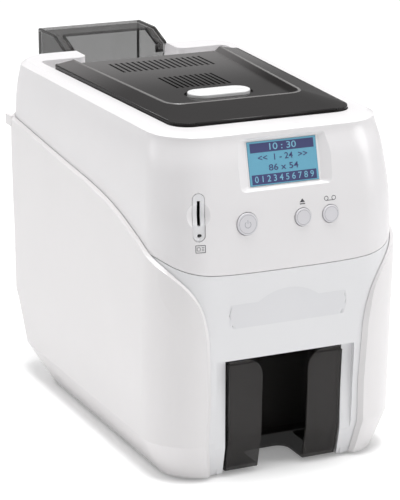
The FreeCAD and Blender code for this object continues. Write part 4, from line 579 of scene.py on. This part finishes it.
def inlay_film():
    layers = (surface_of("front_panel"), surface_of("nameplate"))
    bm = bmesh.new()
    half = [i * FILM_STEP for i in range(FILM_STEPS)]
    half += [FILM_BOTTOM_HALF, FILM_TOP_HALF, *FILM_END_X]
    columns = []
    for x in sorted({-x for x in half} | set(half)):
        low, high = film_span(x)
        column = []
        for i in range(FILM_ROWS + 1):
            z = low + (high - low) * i / FILM_ROWS
            found = [place for place, _ in (front_hit(layer, x, z) for layer in layers)
                     if place is not None]
            place = min(found, key=lambda hit: hit.y)
            column.append(bm.verts.new(place - INTO_FRONT * FILM_LIFT * MM))
        columns.append(column)
    for a, b in zip(columns, columns[1:]):
        for i in range(FILM_ROWS):
            bm.faces.new((a[i], b[i], b[i + 1], a[i + 1]))
    finish_mesh("inlay_film", bm, INLAY, "housing", smooth=True)


inlay_film()


# Rounded crest of the lid's ridge, lighter than the lid: a painted highlight
RIDGE_CORNERS = ((-64.2, 65.4), (-54.2, -101.3), (54.2, -101.3), (64.2, 65.4))
RIDGE_TURN, RIDGE_TURN_STEPS, RIDGE_STEP, ABOVE_LID_Z = 13.0, 8, 6.0, 300.0
CREST_R, CREST_SINK, CREST_SIDES = 1.3, 0.75, 12


def rounded_path(corners, turn, steps):
    """The path through the corners, with each inner one rounded off."""
    path = [corners[0]]
    for before, corner, after in zip(corners, corners[1:], corners[2:]):
        start = corner + (before - corner).normalized() * turn
        end = corner + (after - corner).normalized() * turn
        for i in range(steps + 1):
            t = i / steps
            path.append(start * (1 - t) ** 2 + corner * 2 * t * (1 - t) + end * t * t)
    path.append(corners[-1])
    return path


def tube(name, path, radius, look, body):
    bm = bmesh.new()
    rings = []
    for i, place in enumerate(path):
        before, after = path[max(i - 1, 0)], path[min(i + 1, len(path) - 1)]
        along = (after - before).normalized()
        side = along.cross(UPWARD).normalized()
        rings.append(ring(bm, place, side, side.cross(along), radius, CREST_SIDES))
    capped_walls(bm, rings)
    bmesh.ops.recalc_face_normals(bm, faces=bm.faces)
    finish_mesh(name, bm, look, body, smooth=True)


def ridge_crest():
    lid = surface_of("top_lid")
    corners = [Vector((x, y, 0)) for x, y in RIDGE_CORNERS]
    flat = rounded_path(corners, RIDGE_TURN, RIDGE_TURN_STEPS)
    fine = []
    for a, b in zip(flat, flat[1:]):
        count = max(int((b - a).length / RIDGE_STEP), 1)
        fine += [a.lerp(b, i / count) for i in range(count)]
    fine.append(flat[-1])
    path = []
    for place in fine:
        hit, _, _, _ = lid.ray_cast(mm(place.x, place.y, ABOVE_LID_Z), -UPWARD)
        path.append(hit - UPWARD * CREST_SINK * MM)
    tube("lid_ridge_crest_painted_highlight", path, CREST_R * MM, CREST_PAINTED_HIGHLIGHT, "lid")


ridge_crest()


# Dark edges of the smoked plastic: on the hoppers where the thick wall is seen end-on; on the
# lid's rim a painted shadow of the gap round the lid
SHARP = math.radians(35.0)
SAME_PLACE = 1e-6
SHORTEST, BEAD_INSET, BEAD_SIDES = 0.2, 0.3, 6
TRAY_FRONT_Z, TRAY_FRONT_Y = (200.0, 266.0), 150.0
TRAY_SIDE_X, TRAY_SIDE_Z, TRAY_RIM_Z, TRAY_REAR_Y = 40.0, 132.0, 259.0, 176.0
LID_RIM_Z, LID_SIDE_X, LID_FRONT_Y = 257.0, 70.0, -128.0
HOPPER_SIDE_X, HOPPER_FRONT_Y = 40.0, -165.0


def edge_lines(name, node, radius, depth, body, wanted):
    """Beads just under a piece's sharp outer edges, depth radii inside them."""
    source = bmesh.new()
    source.from_mesh(nodes[node].data)
    source.transform(nodes[node].matrix_world)
    bmesh.ops.remove_doubles(source, verts=source.verts, dist=SAME_PLACE)
    made = bmesh.new()
    for edge in source.edges:
        if len(edge.link_faces) != 2 or not edge.is_convex or edge.calc_face_angle() < SHARP:
            continue
        a, b = (v.co for v in edge.verts)
        length = (b - a).length
        if length < SHORTEST * MM or not wanted((a + b) / 2 / MM):
            continue
        outward = edge.link_faces[0].normal + edge.link_faces[1].normal
        inward = -outward * (radius * depth * math.sqrt(2) / outward.length_squared)
        along = (b - a).normalized()
        inset = along * min(radius, length * BEAD_INSET)
        side, other = cross_axes(along)
        capped_walls(made, [ring(made, end + inward, side, other, radius, BEAD_SIDES)
                            for end in (a + inset, b - inset)])
    source.free()
    finish_mesh(name, made, EDGE_DARK_AND_PAINTED_SHADOW, body, smooth=True)


def tray_front(at):
    return TRAY_FRONT_Z[0] < at.z < TRAY_FRONT_Z[1] and at.y < TRAY_FRONT_Y


def tray_sides(at):
    return (abs(at.x) > TRAY_SIDE_X and at.z > TRAY_SIDE_Z
            and (at.z > TRAY_RIM_Z or at.y > TRAY_REAR_Y))


def lid_rim(at):
    return at.z > LID_RIM_Z and (abs(at.x) > LID_SIDE_X or at.y < LID_FRONT_Y)


def hopper_front(at):
    return abs(at.x) > HOPPER_SIDE_X and at.y < HOPPER_FRONT_Y


edge_lines("input_hopper_edges", "input_hopper", 1.3 * MM, 1.1, "housing", tray_front)
edge_lines("input_hopper_top_edges", "input_hopper", 1.1 * MM, 1.45, "housing", tray_sides)
# On the lid's rim these dark beads are painted shadow of the gap round the lid.
edge_lines("top_lid_painted_shadow_edges", "top_lid", 0.8 * MM, 0.9, "lid", lid_rim)
edge_lines("output_hopper_edges", "output_hopper", 0.6 * MM, 1.0, "output_hopper",
           hopper_front)


# Small screws on the main board and the head bracket
SCREW_PROFILE = ((1.0, 0.0), (1.0, 0.25), (0.92, 0.5), (0.7, 0.68), (0.42, 0.76), (0.40, 0.30))
SCREW_SIDES, RECESS_REACH, RECESS_ARM, RECESS_WAIST = 28, 0.5, 0.55, 0.42
BOARD_FACE_X, BOARD_SCREW_R = -66.0, 2.4
BOARD_SCREWS_YZ = ((-34, 72), (98, 72), (-34, 115), (98, 115))
BRACKET_FACE_Z, BRACKET_SCREW_R = 255.5, 2.6
BRACKET_SCREWS_XY = ((-44, -26), (44, -26), (-44, 58), (44, 58))


def screw(name, centre, axis, radius, body):
    """Pan-head screw with a cross recess."""
    bm = bmesh.new()
    side, other = cross_axes(axis)
    rings = []
    for reach, rise in SCREW_PROFILE:
        loop = []
        for k in range(SCREW_SIDES):
            t = FULL_TURN * k / SCREW_SIDES
            waist = reach < RECESS_REACH and abs(math.sin(2 * t)) >= RECESS_ARM
            pull = reach * RECESS_WAIST if waist else reach
            out = (side * math.cos(t) + other * math.sin(t)) * radius * pull
            loop.append(bm.verts.new(centre + out + axis * radius * rise))
        rings.append(loop)
    capped_walls(bm, rings)
    finish_mesh(name, bm, TURNED, body)


for i, (y, z) in enumerate(BOARD_SCREWS_YZ, 1):
    screw("board_screw_%d" % i, mm(BOARD_FACE_X, y, z), Vector((-1, 0, 0)),
          BOARD_SCREW_R * MM, "housing")
for i, (x, y) in enumerate(BRACKET_SCREWS_XY, 1):
    screw("bracket_screw_%d" % i, mm(x, y, BRACKET_FACE_Z), Vector((0, 0, -1)),
          BRACKET_SCREW_R * MM, "lid")


# Frame that closes the rear window round the feeder and the sockets
REAR_FRAME_Y = (121.8, 124.0)
REAR_FRAME_BARS = (      # each from x to x and from z to z
    (-65.7, -61.0, 96.0, 142.5),
    (-71.9, -65.7, 126.3, 142.5),
    (-71.9, -65.7, 103.8, 112.2),
    (-61.0, 58.5, 130.6, 142.5),
    (58.5, 71.9, 134.6, 142.5),
)


def rear_frame():
    bm = bmesh.new()
    y0, y1 = REAR_FRAME_Y
    for x0, x1, z0, z1 in REAR_FRAME_BARS:
        size = Matrix.Diagonal(((x1 - x0) * MM, (y1 - y0) * MM, (z1 - z0) * MM, 1))
        centre = mm((x0 + x1) / 2, (y0 + y1) / 2, (z0 + z1) / 2)
        bmesh.ops.create_cube(bm, size=1.0, matrix=Matrix.Translation(centre) @ size)
    finish_mesh("rear_window_frame", bm, FRONT, "housing")


rear_frame()


# Studio: a soft sky for the light, which the camera sees as plain white
SKY_LIGHT, SKY_SEEN = 0.34, 1.0
FLOOR_SIZE, FLOOR_GRAIN, FLOOR_GLOW = 24.0, 40.0, 0.22
scene = bpy.context.scene
scene.view_settings.view_transform = "Standard"


def white_sky(tree, strength):
    node = tree.nodes.new("ShaderNodeBackground")
    node.inputs["Color"].default_value = (1.0, 1.0, 1.0, 1)
    node.inputs["Strength"].default_value = strength
    return node.outputs[0]


def studio_world():
    world = bpy.data.worlds.new("studio")
    world.use_nodes = True
    tree = world.node_tree
    tree.nodes.clear()
    path = tree.nodes.new("ShaderNodeLightPath")
    seen = tree.nodes.new("ShaderNodeMath")
    seen.operation = "MAXIMUM"
    tree.links.new(path.outputs["Is Camera Ray"], seen.inputs[0])
    tree.links.new(path.outputs["Is Transmission Ray"], seen.inputs[1])
    mix = tree.nodes.new("ShaderNodeMixShader")
    out = tree.nodes.new("ShaderNodeOutputWorld")
    tree.links.new(seen.outputs[0], mix.inputs["Fac"])
    tree.links.new(white_sky(tree, SKY_LIGHT), mix.inputs[1])
    tree.links.new(white_sky(tree, SKY_SEEN), mix.inputs[2])
    tree.links.new(mix.outputs[0], out.inputs["Surface"])
    return world


def area_light(name, place, target, size, power_w):
    data = bpy.data.lights.new(name, "AREA")
    data.shape = "DISK"
    data.size = size
    data.energy = power_w
    lamp = bpy.data.objects.new(name, data)
    scene.collection.objects.link(lamp)
    lamp.location = place
    aim = Vector(target) - Vector(place)
    lamp.rotation_euler = aim.to_track_quat("-Z", "Y").to_euler()


def floor_look():
    """Pale floor that glows a little, but only to the camera."""
    mat, tree, shader = new_tree("pale_floor")
    shader.inputs["Roughness"].default_value = 0.9
    shader.inputs["Specular IOR Level"].default_value = 0.1
    grain = noise(tree, FLOOR_GRAIN, CLOUD_DETAIL)
    tint(tree, shader, grain, (0.93, 0.93, 0.93), (0.95, 0.95, 0.95))
    shader.inputs["Emission Color"].default_value = (1, 1, 1, 1)
    glow = tree.nodes.new("ShaderNodeMath")
    glow.operation = "MULTIPLY"
    glow.inputs[1].default_value = FLOOR_GLOW
    rays = tree.nodes.new("ShaderNodeLightPath")
    tree.links.new(rays.outputs["Is Camera Ray"], glow.inputs[0])
    tree.links.new(glow.outputs[0], shader.inputs["Emission Strength"])
    return mat


scene.world = studio_world()
area_light("key", (2.4, -1.8, 1.2), (0, 0, 0.14), 1.4, 22.0)
area_light("fill", (-2.3, 1.4, 1.1), (0, 0, 0.12), 1.6, 11.0)
area_light("top", (0.0, -0.1, 2.8), (0, 0, 0.1), 1.6, 76.0)
area_light("back", (0.4, 2.0, 2.6), (0, 0, 0.15), 1.4, 6.0)

bpy.ops.mesh.primitive_plane_add(size=FLOOR_SIZE, location=(0, 0, 0))
floor = bpy.context.object
floor.name = "floor"
floor.data.materials.append(floor_look())

# Camera at the photo's angle
SENSOR_MM, LENS_MM = 36.0, 160.8
NEAREST, FURTHEST = 0.1, 50.0
CAMERA_AT = (-696.3, -1543.7, 623.0)
LOOK_ALONG, LOOK_RIGHT, ROLL = (0.4014, 0.8704, -0.2852), (0.9081, -0.4188, 0.0), 0.00112

camera_data = bpy.data.cameras.new("camera")
camera_data.sensor_width = SENSOR_MM
camera_data.lens = LENS_MM
camera_data.clip_start = NEAREST
camera_data.clip_end = FURTHEST
camera = bpy.data.objects.new("camera", camera_data)
scene.collection.objects.link(camera)
look_along = Vector(LOOK_ALONG).normalized()
right = Vector(LOOK_RIGHT).normalized()
up = right.cross(look_along).normalized()
turn = Matrix((right, up, -look_along)).transposed().to_4x4()
roll = Matrix.Rotation(ROLL, 4, "Z")
camera.matrix_world = Matrix.Translation(mm(*CAMERA_AT)) @ turn @ roll
scene.camera = camera
